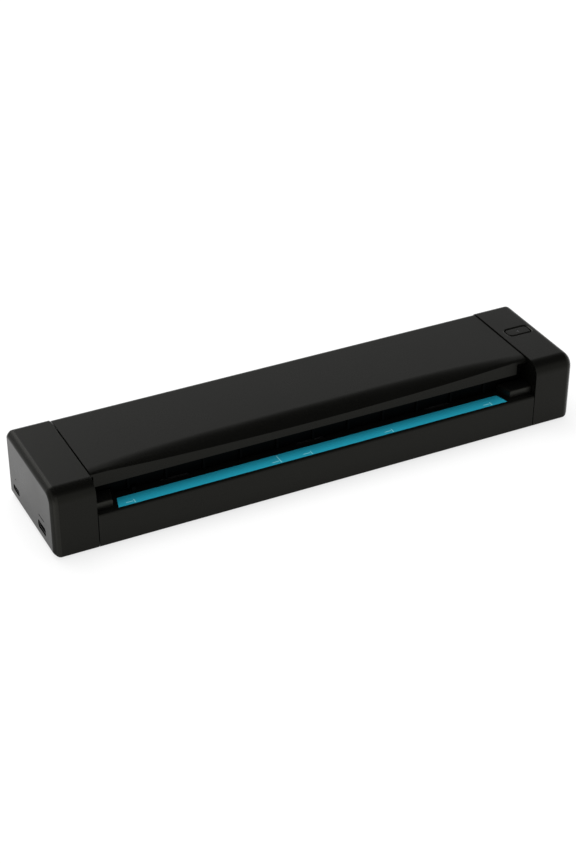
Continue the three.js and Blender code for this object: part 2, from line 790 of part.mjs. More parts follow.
function sensorLever() {
  const half = leverThickness / 2;
  const outline = rounded([
    [leverLine - flagWidth / 2, leverHeight - flagReach],
    [leverLine + flagWidth / 2, leverHeight - flagReach],
    [leverLine + leverWidth / 2, leverHeight - leverHubRadius],
    [leverLine + leverWidth / 2, leverHeight + leverHubRadius],
    [leverLine + leverTilt + leverWidth / 2, leverHeight + leverReach, leverWidth / 3],
    [leverLine + leverTilt - leverWidth / 2, leverHeight + leverReach, leverWidth / 3],
    [leverLine - leverWidth / 2, leverHeight + leverHubRadius],
    [leverLine - leverWidth / 2, leverHeight - leverHubRadius],
  ]);
  const arm = pull(outline, alongX, leverX - half, leverX + half);
  const hub = bar(leverHubRadius, centred(leverX, half * 2), leverLine, leverHeight, smallSides);
  const axleHalf = leverThickness / 2 + rollerClearance + earThickness;
  const axle = bar(leverAxleRadius, centred(leverX, axleHalf * 2), leverLine, leverHeight, smallSides);
  return join(arm, hub, axle);
}

// The driven rollers, and the gears that turn them.

const gearInner = frameOuter + bushFlange + pressFit * 2;
const gearOuter = gearInner + gearWidth;
const wheelInner = gearOuter + layerGap;
const wheelOuter = wheelInner + wheelWidth;
const bracketInner = wheelOuter + layerGap * 2;
const bracketThickness = 1;
const bracketOuter = bracketInner + bracketThickness;
const wheelReach = (fineModule * (wheelTeeth + pinionTeeth)) / 2;
const motorLine = scanLine + wheelReach * Math.cos(motorAngle);
const motorHeight = axisHeight + wheelReach * Math.sin(motorAngle);

function rollerShaft(line) {
  return bar(shaftRadius, [-frameOuter - bushFlange - fit, gearOuter], line, axisHeight);
}

function tyre(x, line) {
  const bore = shaftRadius + pressFit;
  const half = tyreWidth / 2;
  return turned([
    [bore, x - half], [tyreRadius - tyreChamfer, x - half], [tyreRadius, x - half + tyreChamfer],
    [tyreRadius, x + half - tyreChamfer], [tyreRadius - tyreChamfer, x + half], [bore, x + half],
  ], line, axisHeight);
}

// The outline of a gear, with the middle of one tooth at the angle of its phase.
function gearOutline(teeth, size, phase) {
  const slope = Math.tan(pressureAngle);
  const radius = (teeth * size) / 2;
  const thickness = (Math.PI * size) / 4 - backlash;
  const tip = radius + size;
  const root = radius - size * dedendumShare;
  const tipHalf = (thickness - slope * size) / tip;
  const rootHalf = (thickness + slope * size * flankShare) / root;
  return range(teeth).flatMap((k) => {
    const middle = phase + (k * 2 * Math.PI) / teeth;
    return [[root, -rootHalf], [tip, -tipHalf], [tip, tipHalf], [root, rootHalf]].map(([reach, turn]) =>
      new THREE.Vector2(reach * Math.cos(middle + turn), reach * Math.sin(middle + turn)));
  });
}

function boreOutline(radius, sides = smallSides) {
  return range(sides).map((k) => {
    const angle = (-k * 2 * Math.PI) / sides;
    return new THREE.Vector2(radius * Math.cos(angle), radius * Math.sin(angle));
  });
}

function gear(teeth, size, phase, bore, [x0, x1], y, z, sides) {
  const hole = boreOutline(bore, sides).map((point) => point.add(new THREE.Vector2(y, z)));
  const outline = gearOutline(teeth, size, phase).map((point) => point.add(new THREE.Vector2(y, z)));
  return pull(outline, alongX, x0, x1, [hole]);
}

const rollerPhase = 0;
const idlerPhase = Math.PI / idlerTeeth;
const wheelPhase = motorAngle;
const pinionPhase = motorAngle + Math.PI + Math.PI / pinionTeeth;

function rollerGear(line) {
  return gear(rollerTeeth, gearModule, rollerPhase, shaftRadius + pressFit,
    [gearInner, gearOuter], line, axisHeight, roundSides);
}

function idlerGear() {
  const bore = idlerAxleRadius + runningFit;
  const small = gear(idlerTeeth, gearModule, idlerPhase, bore, [gearInner, wheelInner + layerGap],
    scanLine, axisHeight);
  const wheel = gear(wheelTeeth, fineModule, wheelPhase, bore, [wheelInner, wheelOuter],
    scanLine, axisHeight);
  return join(small, wheel);
}

function idlerAxle() {
  return bar(idlerAxleRadius, [frameInner + pressFit, bracketOuter], scanLine, axisHeight, smallSides);
}

function motorPinion() {
  return gear(pinionTeeth, fineModule, pinionPhase, motorShaftRadius + pressFit,
    [wheelInner - pressFit, wheelOuter + pressFit], motorLine, motorHeight);
}

// The motor, on a sheet bracket that stands off the right side plate.

const motorRadius = 7.5;
const motorLength = 9;
const motorBossRadius = 2.6;
const motorBore = 6;
const motorEdge = 0.6;
const topStandoffSetback = 4.8;
const bracketCorner = 2.4;

const standoffs = [
  [feedLine - standoffReach, axisHeight],
  [exitLine + standoffReach, axisHeight],
  [scanLine + topStandoffSetback, axisHeight + wheelTip + standoffGap + standoffRadius],
];

function motorShaft() {
  return bar(motorShaftRadius, [wheelInner - pressFit, bracketOuter + motorBore - fit],
    motorLine, motorHeight, smallSides);
}

function motor() {
  const bore = motorShaftRadius + runningFit;
  const face = bracketOuter;
  const end = bracketOuter + motorLength;
  return turned([
    [0, face + motorBore], [bore, face + motorBore], [bore, bracketInner], [motorBossRadius, bracketInner],
    [motorBossRadius, face], [motorRadius, face],
    [motorRadius, end - motorEdge], [motorRadius - motorEdge, end], [0, end],
  ], motorLine, motorHeight);
}

function gearBracket() {
  const [frontPost, backPost, topPost] = standoffs;
  const shoulder = bracketMargin * 2;
  const outline = rounded([
    [frontPost[0] - bracketMargin, frontPost[1] - shoulder, bracketCorner],
    [backPost[0] + bracketMargin, backPost[1] - shoulder, bracketCorner],
    [backPost[0] + bracketMargin, backPost[1] + shoulder, bracketCorner],
    [topPost[0] + shoulder, topPost[1] + bracketMargin, bracketCorner],
    [motorLine - motorRadius, topPost[1] + bracketMargin, bracketCorner],
    [frontPost[0] - bracketMargin, frontPost[1] + shoulder, bracketCorner],
  ]);
  const plate = pull(outline, alongX, bracketInner, bracketOuter);
  const legs = standoffs.map(([y, z]) =>
    bar(standoffRadius, [frameOuter, bracketInner + bracketThickness / 2], y, z, smallSides));
  const through = [bracketInner - overrun, bracketOuter + overrun];
  const motorHole = bar(motorBossRadius + pressFit, through, motorLine, motorHeight);
  const axleHole = bar(idlerAxleRadius + pressFit, through, scanLine, axisHeight, smallSides);
  return cut(join(plate, ...legs), motorHole, axleHole);
}

// The lid.

const hingePinRadius = 1.5;
const hingeHeadRadius = 2.6;
const hingeHead = 1;
const hingeBossRadius = 4;
const hingeBossDepth = 2;
const hingePinReach = 1.6;
const lidPostRadius = 2.2;
const lidPostInset = 75.5;
const lidPostSetback = 2.5;
const bevelSteps = 6;
const endShares = [1, 0.965, 0.925, 0.86, 0.75, 0.62, 0.47, 0.31, 0.15];
const bevelShapePower = 2;
const bevelDepthPower = 4;

// How far the top drops to the crease, and how far back the bevel starts, at a place along the length.
function bevelAt(x) {
  const share = Math.min(Math.abs(x) / bevelHalf, 1);
  const endShare = Math.abs(x) / middleEnd;
  return {
    drop: bevelEndDrop + (bevelDrop - bevelEndDrop) * (1 - share ** bevelShapePower),
    depth: bevelEndDepth + bevelDepth * (1 - endShare ** bevelDepthPower),
  };
}

// The top of the lid, from its back edge to the crease over the band, with the bevel as a smooth fall.
function lidSection(x, inset) {
  const { drop, depth: reach } = bevelAt(x);
  const face = bandFace + inset;
  const top = lidTop - inset;
  const radius = backTopRadius - inset;
  const crease = range(bevelSteps).map((k) => {
    const share = 1 - k / bevelSteps;
    return [face + reach * (1 - share), top - drop * share ** 2];
  });
  return { face, top, radius, crease, onset: [face + reach, top] };
}

function lidOuter(x) {
  const { face, top, radius, crease, onset } = lidSection(x, 0);
  return rounded([
    [face, bandBottom], ...crease, onset,
    [back, top, radius],
    [back, paperHeight + slotHeight],
    [hingeLine + lidWall, lidUnder],
    [upperBend, lidUnder],
    [face + lidWall, bandBottom],
  ]);
}

function lidInner(x) {
  const { face, top, radius, crease, onset } = lidSection(x, lidWall);
  return rounded([
    [face, lidUnder - overrun], ...crease, onset,
    [back - lidWall, top, radius],
    [back - lidWall, lidUnder - overrun],
  ]);
}

function lidLoft(outlineAt, end) {
  const left = endShares.map((share) => -share * end);
  const right = endShares.map((share) => share * end).reverse();
  const places = [...left, 0, ...right];
  return loft(places.map((x) => outlineAt(x).map((point) => new THREE.Vector3(x, point.x, point.y))));
}

function topCover() {
  const shell = cut(lidLoft(lidOuter, middleEnd), lidLoft(lidInner, lidSideInner));
  const hingeBosses = [-1, 1].map((side) => {
    const inner = side * (lidSideInner - hingeBossDepth);
    const outer = side * (middleEnd - weld);
    return bar(hingeBossRadius, ordered(inner, outer), hingeLine, hingeHeight);
  });
  const hingeBores = [-1, 1].map((side) => {
    const inner = side * (lidSideInner - overrun);
    const outer = side * (middleEnd + overrun);
    return bar(hingePinRadius + runningFit, ordered(inner, outer),
      hingeLine, hingeHeight, smallSides);
  });
  const notch = (inner, outer) => block(ordered(inner, outer),
    [bandFace - overrun, blockBack + swingClearance], [lidUnder - overrun, lidTop - lidWall]);
  const bandHalf = guideLength / 2 + bandOverhang;
  const notches = [
    notch(pathCentre + bandHalf, middleEnd + overrun),
    notch(pathCentre - bandHalf, -middleEnd - overrun),
  ];
  const posts = spread(2, lidPostInset).map((x) =>
    post(lidPostRadius, x, hingeLine - lidPostSetback,
      [lidUnder + lidWall, lidTop - lidWall + weld], smallSides));
  return cut(join(shell, ...hingeBosses, ...posts), ...hingeBores, ...notches);
}

function hingePin(side) {
  const ends = (from, to) => (side > 0 ? [from, to] : [-to, -from]);
  const shank = bar(hingePinRadius, ends(lidSideInner - hingePinReach, frameOuter + weld),
    hingeLine, hingeHeight, smallSides);
  const head = bar(hingeHeadRadius, ends(frameOuter, frameOuter + hingeHead),
    hingeLine, hingeHeight, smallSides);
  return join(shank, head);
}

// The upper paper guide, which closes the lid from below and carries the pinch rollers.

const finCount = 11;
const finInset = 9.5;
const finThickness = 1.2;
const finRadius = 2;
const upperWall = 1.6;
const springWallHeight = 4;
const springWallThickness = 1.2;
const springThickness = 0.3;
const cradleThickness = 2;
const cradleGap = 1.4;
const cradleHeight = 2.8;
const plateDepth = 12;
const plateFlange = 1.6;
const plateFlangeThickness = 1;
const plateDrop = 0.3;

const upperTop = lidUnder + upperWall;
const upperBack = hingeLine - weld;
const mouthTop = bandBottom + upperWall / 2;
const mouthFront = bandFace + lidWall + fit;
const upperEnd = lidSideInner - fit;

const upperOutline = rounded([
  [mouthFront, mouthTop],
  [upperBend, lidUnder],
  [upperBack, lidUnder],
  [upperBack, upperTop],
  [upperBend + upperWall, upperTop],
  [mouthFront + upperWall, mouthTop + upperWall],
  [mouthFront, mouthTop + upperWall],
]);

// A fin in front of the sloping face, which keeps a sheet from catching on it.
const finOutline = rounded([
  [mouthFront, mouthTop],
  [mouthFront, lidUnder, finRadius],
  [upperBend + fit, lidUnder],
  [upperBend + fit, lidUnder + upperWall],
  [mouthFront + fit, mouthTop],
]);

// The space over each side block, which the guide keeps clear of.
function blockRelief(side) {
  const inner = pathCentre + side * (blockInner - taperShare * (blockBack - blockFront) - fit);
  const outer = side * (middleEnd + overrun);
  return block(ordered(inner, outer),
    [front, blockBack + swingClearance], [0, guideTop + blockHeight + rollerClearance]);
}

function pinchWindows(line) {
  const halfWidth = pinchWidth / 2 + rollerClearance;
  const halfReach = pinchRadius + rollerClearance;
  return tyrePlaces.map((x) => block(centred(x, halfWidth * 2), centred(line, halfReach * 2),
    [lidUnder - overrun, upperTop + overrun]));
}

function pinchCradles(line) {
  const offset = pinchWidth / 2 + rollerClearance + cradleGap;
  const places = tyrePlaces.flatMap((x) => centred(x, offset * 2));
  const blocks = places.map((x) => block(centred(x, cradleThickness),
    [line - pinchAxleRadius * 2, line + pinchAxleRadius * 2], [upperTop - weld, upperTop + cradleHeight]));
  const slots = places.map((x) => block(centred(x, cradleThickness * 2),
    [line - pinchAxleRadius - runningFit, line + pinchAxleRadius + runningFit],
    [pinchHeight - pinchAxleRadius - runningFit, upperTop + cradleHeight + overrun]));
  return cut(join(...blocks), ...slots);
}

// The wall beside each pinch axle that carries its flat spring.
function springWall(line) {
  const side = Math.sign(scanLine - line);
  const near = line + side * (pinchRadius + rollerClearance);
  const far = near + side * springWallThickness;
  return block(centred(pathCentre, pinchEnd * 2), ordered(near, far),
    [upperTop - weld, upperTop + springWallHeight]);
}

function upperGuide() {
  const roof = pull(upperOutline, alongX, -upperEnd, upperEnd);
  const fins = spread(finCount, finInset).map((x) =>
    pull(finOutline, alongX, x - finThickness / 2, x + finThickness / 2));
  const plateWindow = block([moduleX[0], moduleX[1]],
    centred(scanLine, plateDepth + fit * 2), [lidUnder - overrun, upperTop + overrun]);
  const leverSlot = block(centred(leverX, leverThickness + rollerClearance * 2),
    [mouthFront - weld, leverLine + leverSlotLength], [0, leverHeight + leverReach + rollerClearance * 2]);
  const body = cut(join(roof, ...fins), ...pinchWindows(feedLine), ...pinchWindows(exitLine), plateWindow,
    leverSlot, blockRelief(-1), blockRelief(1));
  return join(body, ...[feedLine, exitLine].flatMap((line) => [pinchCradles(line), springWall(line)]));
}

function backingPlate() {
  const plate = block([moduleX[0] + fit, moduleX[1] - fit], centred(scanLine, plateDepth),
    [lidUnder - plateDrop, upperTop + fit + weld]);
  const flange = block([moduleX[0] - plateFlange, moduleX[1] + plateFlange],
    [scanLine - plateDepth / 2 - plateFlange, scanLine + plateDepth / 2 + plateFlange],
    [upperTop + fit / 2, upperTop + fit / 2 + plateFlangeThickness]);
  return join(plate, flange);
}

function pinchAxle(line) {
  return bar(pinchAxleRadius, centred(pathCentre, pinchEnd * 2), line, pinchHeight, smallSides);
}

function pinchRoller(x, line) {
  const bore = pinchAxleRadius + pressFit;
  const half = pinchWidth / 2;
  return turned([
    [bore, x - half], [pinchRadius, x - half], [pinchRadius, x + half], [bore, x + half],
  ], line, pinchHeight);
}

// A flat spring that lies on its wall and reaches over the axle, cut away where the rollers are.
function pinchSpring(line) {
  const side = Math.sign(scanLine - line);
  const wallNear = line + side * (pinchRadius + rollerClearance);
  const wallFar = wallNear + side * springWallThickness;
  const seat = upperTop + springWallHeight;
  const tip = pinchHeight + pinchAxleRadius + fit;
  const reach = side * pinchAxleRadius;
  const underside = [[wallFar, seat], [wallNear, seat], [line + reach, tip], [line - reach, tip]];
  const topside = underside.map(([y, z]) => [y, z + springThickness]).reverse();
  const outline = [...underside, ...topside].map(([y, z]) => new THREE.Vector2(y, z));
  const end = pinchEnd - springWallThickness;
  const strip = pull(outline, alongX, pathCentre - end, pathCentre + end);
  const halfWidth = pinchWidth / 2 + rollerClearance;
  const gaps = tyrePlaces.map((x) => block(centred(x, halfWidth * 2),
    side > 0 ? [line - overrun, wallNear] : [wallNear, line + overrun], [0, bodyTop]));
  return cut(strip, ...gaps);
}

// Colours and surfaces.

function finish(color, roughness, metalness = 0) {
  return new THREE.MeshStandardMaterial({ color, roughness, metalness });
}

const shellFinish = () => finish(0x2e2e2d, 0.45);
const guideFinish = () => finish(0x101010, 0.55);
const stripFinish = () => finish(0x2f9db5, 0.4);
const rubberFinish = () => finish(0x1b1b1b, 0.9);
const steelFinish = () => finish(0xb9bcc0, 0.3, 1);
const brassFinish = () => finish(0xb08a45, 0.35, 1);
const gearFinish = () => finish(0xe6e2d6, 0.5);
const boardFinish = () => finish(0x1f5a36, 0.6);
const glassFinish = () => finish(0xa9c4c0, 0.05);
const whiteFinish = () => finish(0xf0f0ec, 0.5);

const scanner = new THREE.Group();

// Adds one named piece to a group.
function piece(group, name, shape, material) {
  const mesh = shape.getMesh();
  const indexed = new THREE.BufferGeometry();
  indexed.setAttribute('position', new THREE.BufferAttribute(mesh.vertProperties, 3));
  indexed.setIndex(new THREE.BufferAttribute(mesh.triVerts, 1));
  const geometry = indexed.toNonIndexed();
  geometry.computeVertexNormals();
  const part = new THREE.Mesh(geometry, material);
  part.name = name;
  group.add(part);
}

function group(name) {
  const made = new THREE.Group();
  made.name = name;
  scanner.add(made);
  return made;
}

const base = group('base');
piece(base, 'base_tray', baseTray(), shellFinish());
piece(base, 'left_end_cover', leftEndCover(), shellFinish());
piece(base, 'right_end_cover', rightEndCover(), shellFinish());
piece(base, 'entry_guide', entryGuide(), guideFinish());
piece(base, 'guide_strip', guideStrip(), stripFinish());
piece(base, 'exit_guide', exitGuide(), guideFinish());
piece(base, 'scan_module', scanModule(), guideFinish());
piece(base, 'scan_glass', scanGlass(), glassFinish());
piece(base, 'scan_flex', scanFlex(), whiteFinish());
piece(base, 'main_board', mainBoard(), boardFinish());
piece(base, 'data_socket', socket(dataSocketLine, dataSocketWidth, dataSocketHeight), steelFinish());
piece(base, 'power_socket', socket(powerSocketLine, powerSocketWidth, powerSocketHeight), steelFinish());
piece(base, 'button_board', buttonBoard(), boardFinish());
piece(base, 'gear_bracket', gearBracket(), steelFinish());
piece(base, 'idler_axle', idlerAxle(), steelFinish());
piece(base, 'motor', motor(), steelFinish());
piece(base, 'left_hinge_pin', hingePin(-1), steelFinish());
piece(base, 'right_hinge_pin', hingePin(1), steelFinish());
[['left', -1], ['right', 1]].forEach(([name, side]) => {
  piece(base, `${name}_feed_bush`, bush(side, feedLine), brassFinish());
  piece(base, `${name}_exit_bush`, bush(side, exitLine), brassFinish());
});
footPlaces.forEach(([x, y], k) => piece(base, `foot_${k + 1}`, foot(x, y), rubberFinish()));
coverScrewPlaces.forEach(([x, y], k) => piece(base, `cover_screw_${k + 1}`, coverScrew(x, y), steelFinish()));

[['feed', feedLine], ['exit', exitLine]].forEach(([name, line]) => {
  const roller = group(`${name}_roller`);
  piece(roller, `${name}_shaft`, rollerShaft(line), steelFinish());
  piece(roller, `${name}_gear`, rollerGear(line), gearFinish());
  tyrePlaces.forEach((x, k) => piece(roller, `${name}_tyre_${k + 1}`, tyre(x, line), rubberFinish()));
});

piece(scanner, 'idler_gear', idlerGear(), gearFinish());
piece(scanner, 'motor_shaft', motorShaft(), steelFinish());
piece(scanner, 'motor_pinion', motorPinion(), brassFinish());
piece(scanner, 'sensor_lever', sensorLever(), guideFinish());
piece(scanner, 'scan_button', scanButton(), shellFinish());
piece(scanner, 'status_lens', statusLens(), whiteFinish());

const lid = group('lid');
piece(lid, 'top_cover', topCover(), shellFinish());
piece(lid, 'upper_guide', upperGuide(), guideFinish());
piece(lid, 'backing_plate', backingPlate(), whiteFinish());
[['front', feedLine], ['rear', exitLine]].forEach(([name, line]) => {
  piece(lid, `${name}_pinch_axle`, pinchAxle(line), steelFinish());
  tyrePlaces.forEach((x, k) =>
    piece(lid, `${name}_pinch_roller_${k + 1}`, pinchRoller(x, line), gearFinish()));
  piece(lid, `${name}_pinch_spring`, pinchSpring(line), steelFinish());
});

export default scanner;
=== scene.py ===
"""A portable sheetfed scanner, dressed for its picture. Lengths are metres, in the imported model's frame."""

import json
import math

import bmesh
import bpy
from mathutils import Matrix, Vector

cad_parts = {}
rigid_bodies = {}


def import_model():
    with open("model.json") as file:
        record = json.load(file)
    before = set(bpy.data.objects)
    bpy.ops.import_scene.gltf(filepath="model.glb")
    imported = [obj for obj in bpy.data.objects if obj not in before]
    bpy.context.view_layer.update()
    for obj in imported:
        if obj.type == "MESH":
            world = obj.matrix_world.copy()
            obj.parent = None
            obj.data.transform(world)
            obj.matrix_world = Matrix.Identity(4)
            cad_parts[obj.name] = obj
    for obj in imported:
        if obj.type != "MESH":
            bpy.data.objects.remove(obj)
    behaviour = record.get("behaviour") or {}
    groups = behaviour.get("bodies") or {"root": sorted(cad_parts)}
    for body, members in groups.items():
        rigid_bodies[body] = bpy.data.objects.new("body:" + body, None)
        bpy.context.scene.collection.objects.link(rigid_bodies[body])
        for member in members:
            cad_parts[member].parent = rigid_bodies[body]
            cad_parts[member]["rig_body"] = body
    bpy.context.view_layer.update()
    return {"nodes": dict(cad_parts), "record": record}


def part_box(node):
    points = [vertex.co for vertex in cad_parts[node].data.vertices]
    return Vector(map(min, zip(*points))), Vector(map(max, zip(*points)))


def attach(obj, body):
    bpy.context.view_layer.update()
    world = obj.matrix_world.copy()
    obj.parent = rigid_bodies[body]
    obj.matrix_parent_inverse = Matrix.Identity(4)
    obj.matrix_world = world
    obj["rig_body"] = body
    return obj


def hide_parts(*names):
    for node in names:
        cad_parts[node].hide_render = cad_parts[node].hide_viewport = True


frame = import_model()
nodes = frame["nodes"]

# The axes, and the two ends of a box along each.
X, Y, Z = 0, 1, 2
LOW, HIGH = 0, 1
ALONG_X = (1, 0, 0)
ALONG_Z = (0, 0, 1)


# Scene helpers.

def link(obj):
    bpy.context.scene.collection.objects.link(obj)
    return obj


def box_of(node):
    """The lowest and highest corner of a node, and its middle."""
    low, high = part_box(node)
    return low, high, (low + high) / 2


def end_of(node, which, axis=X):
    """Where a node ends along an axis."""
    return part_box(node)[which][axis]


# Camera, fitted to the scanner's outline in the photograph.

AZIMUTH = math.radians(-26.411)
ELEVATION = math.radians(32.424)
DISTANCE = 0.993835
LENS_MM = 77.02
SENSOR_MM = 36
TARGET = Vector((0, 0, 0.0205))
ASIDE = -0.0054617
ALONG_UP = -0.0052464


def make_camera():
    """Puts the camera where the photograph was taken from."""
    back = Vector((math.sin(AZIMUTH) * math.cos(ELEVATION),
                   -math.cos(AZIMUTH) * math.cos(ELEVATION),
                   math.sin(ELEVATION)))
    right = Vector(ALONG_Z).cross(back).normalized()
    up = back.cross(right)
    data = bpy.data.cameras.new("camera")
    data.lens = LENS_MM
    data.sensor_width = SENSOR_MM
    camera = link(bpy.data.objects.new("camera", data))
    camera.location = TARGET + right * ASIDE + up * ALONG_UP + back * DISTANCE
    camera.rotation_euler = back.to_track_quat("Z", "Y").to_euler()
    bpy.context.scene.camera = camera


# Shader helpers.

# The numbers of a colour mix node's sockets: its share, its two colours and its result.
MIX_SHARE, MIX_FIRST, MIX_SECOND, MIX_RESULT = 0, 6, 7, 2


class Tree:
    """A small wrapper that adds and joins shader nodes."""

    def __init__(self, tree):
        self.tree = tree
        tree.nodes.clear()

    def add(self, kind, inputs=None, **settings):
        node = self.tree.nodes.new("ShaderNode" + kind)
        for name, value in settings.items():
            setattr(node, name, value)
        for name, value in (inputs or {}).items():
            node.inputs[name].default_value = value
        return node

    def join(self, out, into):
        self.tree.links.new(out, into)

    def feed(self, value, socket):
        """Gives a socket its value: a number, a colour or another node's output."""
        if isinstance(value, (int, float, tuple)):
            socket.default_value = value
        else:
            self.join(value, socket)

    def math(self, operation, *values):
        """Adds one sum of numbers and other nodes' outputs."""
        node = self.add("Math", operation=operation)
        for socket, value in zip(node.inputs, values):
            self.feed(value, socket)
        return node.outputs[0]

    def noise(self, where, scale, detail=2.0):
        node = self.add("TexNoise", {"Scale": scale, "Detail": detail})
        self.join(where, node.inputs["Vector"])
        return node.outputs["Fac"]

    def spread(self, value, low, high):
        """Maps a value from 0 to 1 onto another range."""
        node = self.add("MapRange", {"To Min": low, "To Max": high})
        self.join(value, node.inputs["Value"])
        return node.outputs["Result"]

    def reach(self, value, start, end):
        """Runs from 0 to 1 as a value goes from its start to its end."""
        node = self.add("MapRange", {"From Min": start, "From Max": end})
        self.join(value, node.inputs["Value"])
        return node.outputs["Result"]

    def ramp(self, value, stops):
        """Reads a grey level off a ramp of [place, level] stops."""
        node = self.add("ValToRGB")
        elements = node.color_ramp.elements
        for element, (place, level) in zip(elements, (stops[0], stops[-1])):
            element.position, element.color = place, (level, level, level, 1)
        for place, level in stops[1:-1]:
            elements.new(place).color = (level, level, level, 1)
        self.join(value, node.inputs["Fac"])
        return node.outputs["Color"]

    def blend(self, share, first, second):
        """Mixes two colours: each is a colour or another node's output."""
        node = self.add("Mix", data_type="RGBA")
        self.feed(share, node.inputs[MIX_SHARE])
        self.feed(first, node.inputs[MIX_FIRST])
        self.feed(second, node.inputs[MIX_SECOND])
        return node.outputs[MIX_RESULT]

    def axes(self, where):
        """Splits a place or a direction into its parts along X, Y and Z."""
        node = self.add("SeparateXYZ")
        self.join(where, node.inputs[0])
        return node.outputs

    def finish(self, shader, kind="Material"):
        """Joins the last shader to the tree's output."""
        out = self.add("Output" + kind)
        self.join(shader.outputs[0], out.inputs[0])


def new_material(name):
    mat = bpy.data.materials.new(name)
    mat.use_nodes = True
    return mat, Tree(mat.node_tree)


# The studio.

WHITE = (1, 1, 1, 1)
MATT_LIGHT = (0.8, 0.8, 0.8, 1)

# What gloss sees of the studio, as [place, level] stops: up from the horizon in the middle and on the left,
# then the shares of the left and of the dimmer right along the way from far left to far right.
UPWARDS = ((0.0, 1.0), (0.45, 0.95), (0.57, 0.8), (0.7, 0.2), (0.9, 0.03))
UPWARDS_LEFT = ((0.0, 1.0), (0.15, 0.8), (0.38, 0.6), (0.6, 0.4), (0.9, 0.03))
TO_THE_LEFT = ((0.24, 1.0), (0.38, 0.0))
TO_THE_RIGHT = ((0.66, 1.0), (0.76, 0.72))

# The floor, with the share of its own white that the eye sees and that gloss sees. In gloss that white grows
# to LEFT_GLOW on the way between two places at the scanner's left.
FLOOR_RADIUS = 4
FLOOR_SIDES = 96
FLOOR_COLOUR = (0.9, 0.9, 0.9, 1)
FLOOR_GLOW = 0.75
MIRRORED_GLOW = 0.6
LEFT_GLOW = 1.5
LEFT_FROM, LEFT_TO = -0.157, -0.185


def make_world():
    """Even light for matt surfaces, and for gloss a bright horizon under a dark ceiling."""
    world = bpy.data.worlds.new("studio")
    bpy.context.scene.world = world
    world.use_nodes = True
    t = Tree(world.node_tree)
    path = t.add("LightPath")
    way = t.axes(t.add("TexCoord").outputs["Generated"])
    across = t.reach(way["X"], -1, 1)
    upwards = t.blend(t.ramp(across, TO_THE_LEFT), t.ramp(way["Z"], UPWARDS), t.ramp(way["Z"], UPWARDS_LEFT))
    mirrored = t.math("MULTIPLY", upwards, t.ramp(across, TO_THE_RIGHT))
    lit = t.blend(path.outputs["Is Glossy Ray"], MATT_LIGHT, mirrored)
    background = t.add("Background")
    t.join(t.blend(path.outputs["Is Camera Ray"], lit, WHITE), background.inputs["Color"])
    t.finish(background, "World")


def floor_finish(name):
    """A pale matt surface that stays white to the eye and keeps a faint shadow."""
    mat, t = new_material(name)
    path = t.add("LightPath")
    mirrored = t.math("MAXIMUM", path.outputs["Is Glossy Ray"], path.outputs["Is Transmission Ray"])
    share = t.math("MAXIMUM", t.math("MULTIPLY", mirrored, MIRRORED_GLOW),
                   t.math("MULTIPLY", path.outputs["Is Camera Ray"], FLOOR_GLOW))
    place = t.axes(t.add("NewGeometry").outputs["Position"])
    leftwards = t.math("MULTIPLY", t.reach(place["X"], LEFT_FROM, LEFT_TO), mirrored)
    glow = t.add("Emission", {"Color": WHITE})
    t.join(t.math("MULTIPLY_ADD", leftwards, LEFT_GLOW - 1, 1), glow.inputs["Strength"])
    mix = t.add("MixShader")
    t.join(share, mix.inputs[0])
    t.join(t.add("BsdfDiffuse", {"Color": FLOOR_COLOUR}).outputs[0], mix.inputs[1])
    t.join(glow.outputs[0], mix.inputs[2])
    t.finish(mix)
    return mat


def make_floor():
    bm = bmesh.new()
    bmesh.ops.create_circle(bm, cap_ends=True, radius=FLOOR_RADIUS, segments=FLOOR_SIDES)
    mesh = bpy.data.meshes.new("floor")
    bm.to_mesh(mesh)
    bm.free()
    mesh.materials.append(floor_finish("floor"))
    link(bpy.data.objects.new("floor", mesh))


def lamp(name, place, size, power, gloss=True):
    """A lamp with a rectangular face that looks at the scanner. Without gloss, nothing mirrors it."""
    data = bpy.data.lights.new(name, "AREA")
    data.shape = "RECTANGLE"
    data.size, data.size_y = size
    data.energy = power
    obj = link(bpy.data.objects.new(name, data))
    obj.location = place
    obj.rotation_euler = (Vector(place) - TARGET).to_track_quat("Z", "Y").to_euler()
    obj.visible_glossy = gloss


# Materials.

# A grained look: how fine its slow patches and its grain are, and how far each of them swings its roughness.
PATCH_SCALE = 40
GRAIN_SCALE = 2600
GLOSS_SWING = 0.05

# The boards: a web of tracks under green solder mask.
BOARD_ROUGHNESS = 0.35
MASK_DARK = (0.012, 0.085, 0.035, 1)
MASK_LIGHT = (0.018, 0.12, 0.05, 1)
MASK_SCALE = 90
TRACK_COLOUR = (0.03, 0.2, 0.08, 1)
TRACK_SCALE = 420
TRACK_REACH = 0.12

# The glass, with the range of roughness in its haze.
GLASS_COLOUR = (0.86, 0.95, 0.93, 1)
GLASS_INDEX = 1.5
HAZE_SCALE = 60
HAZE = (0.01, 0.05)


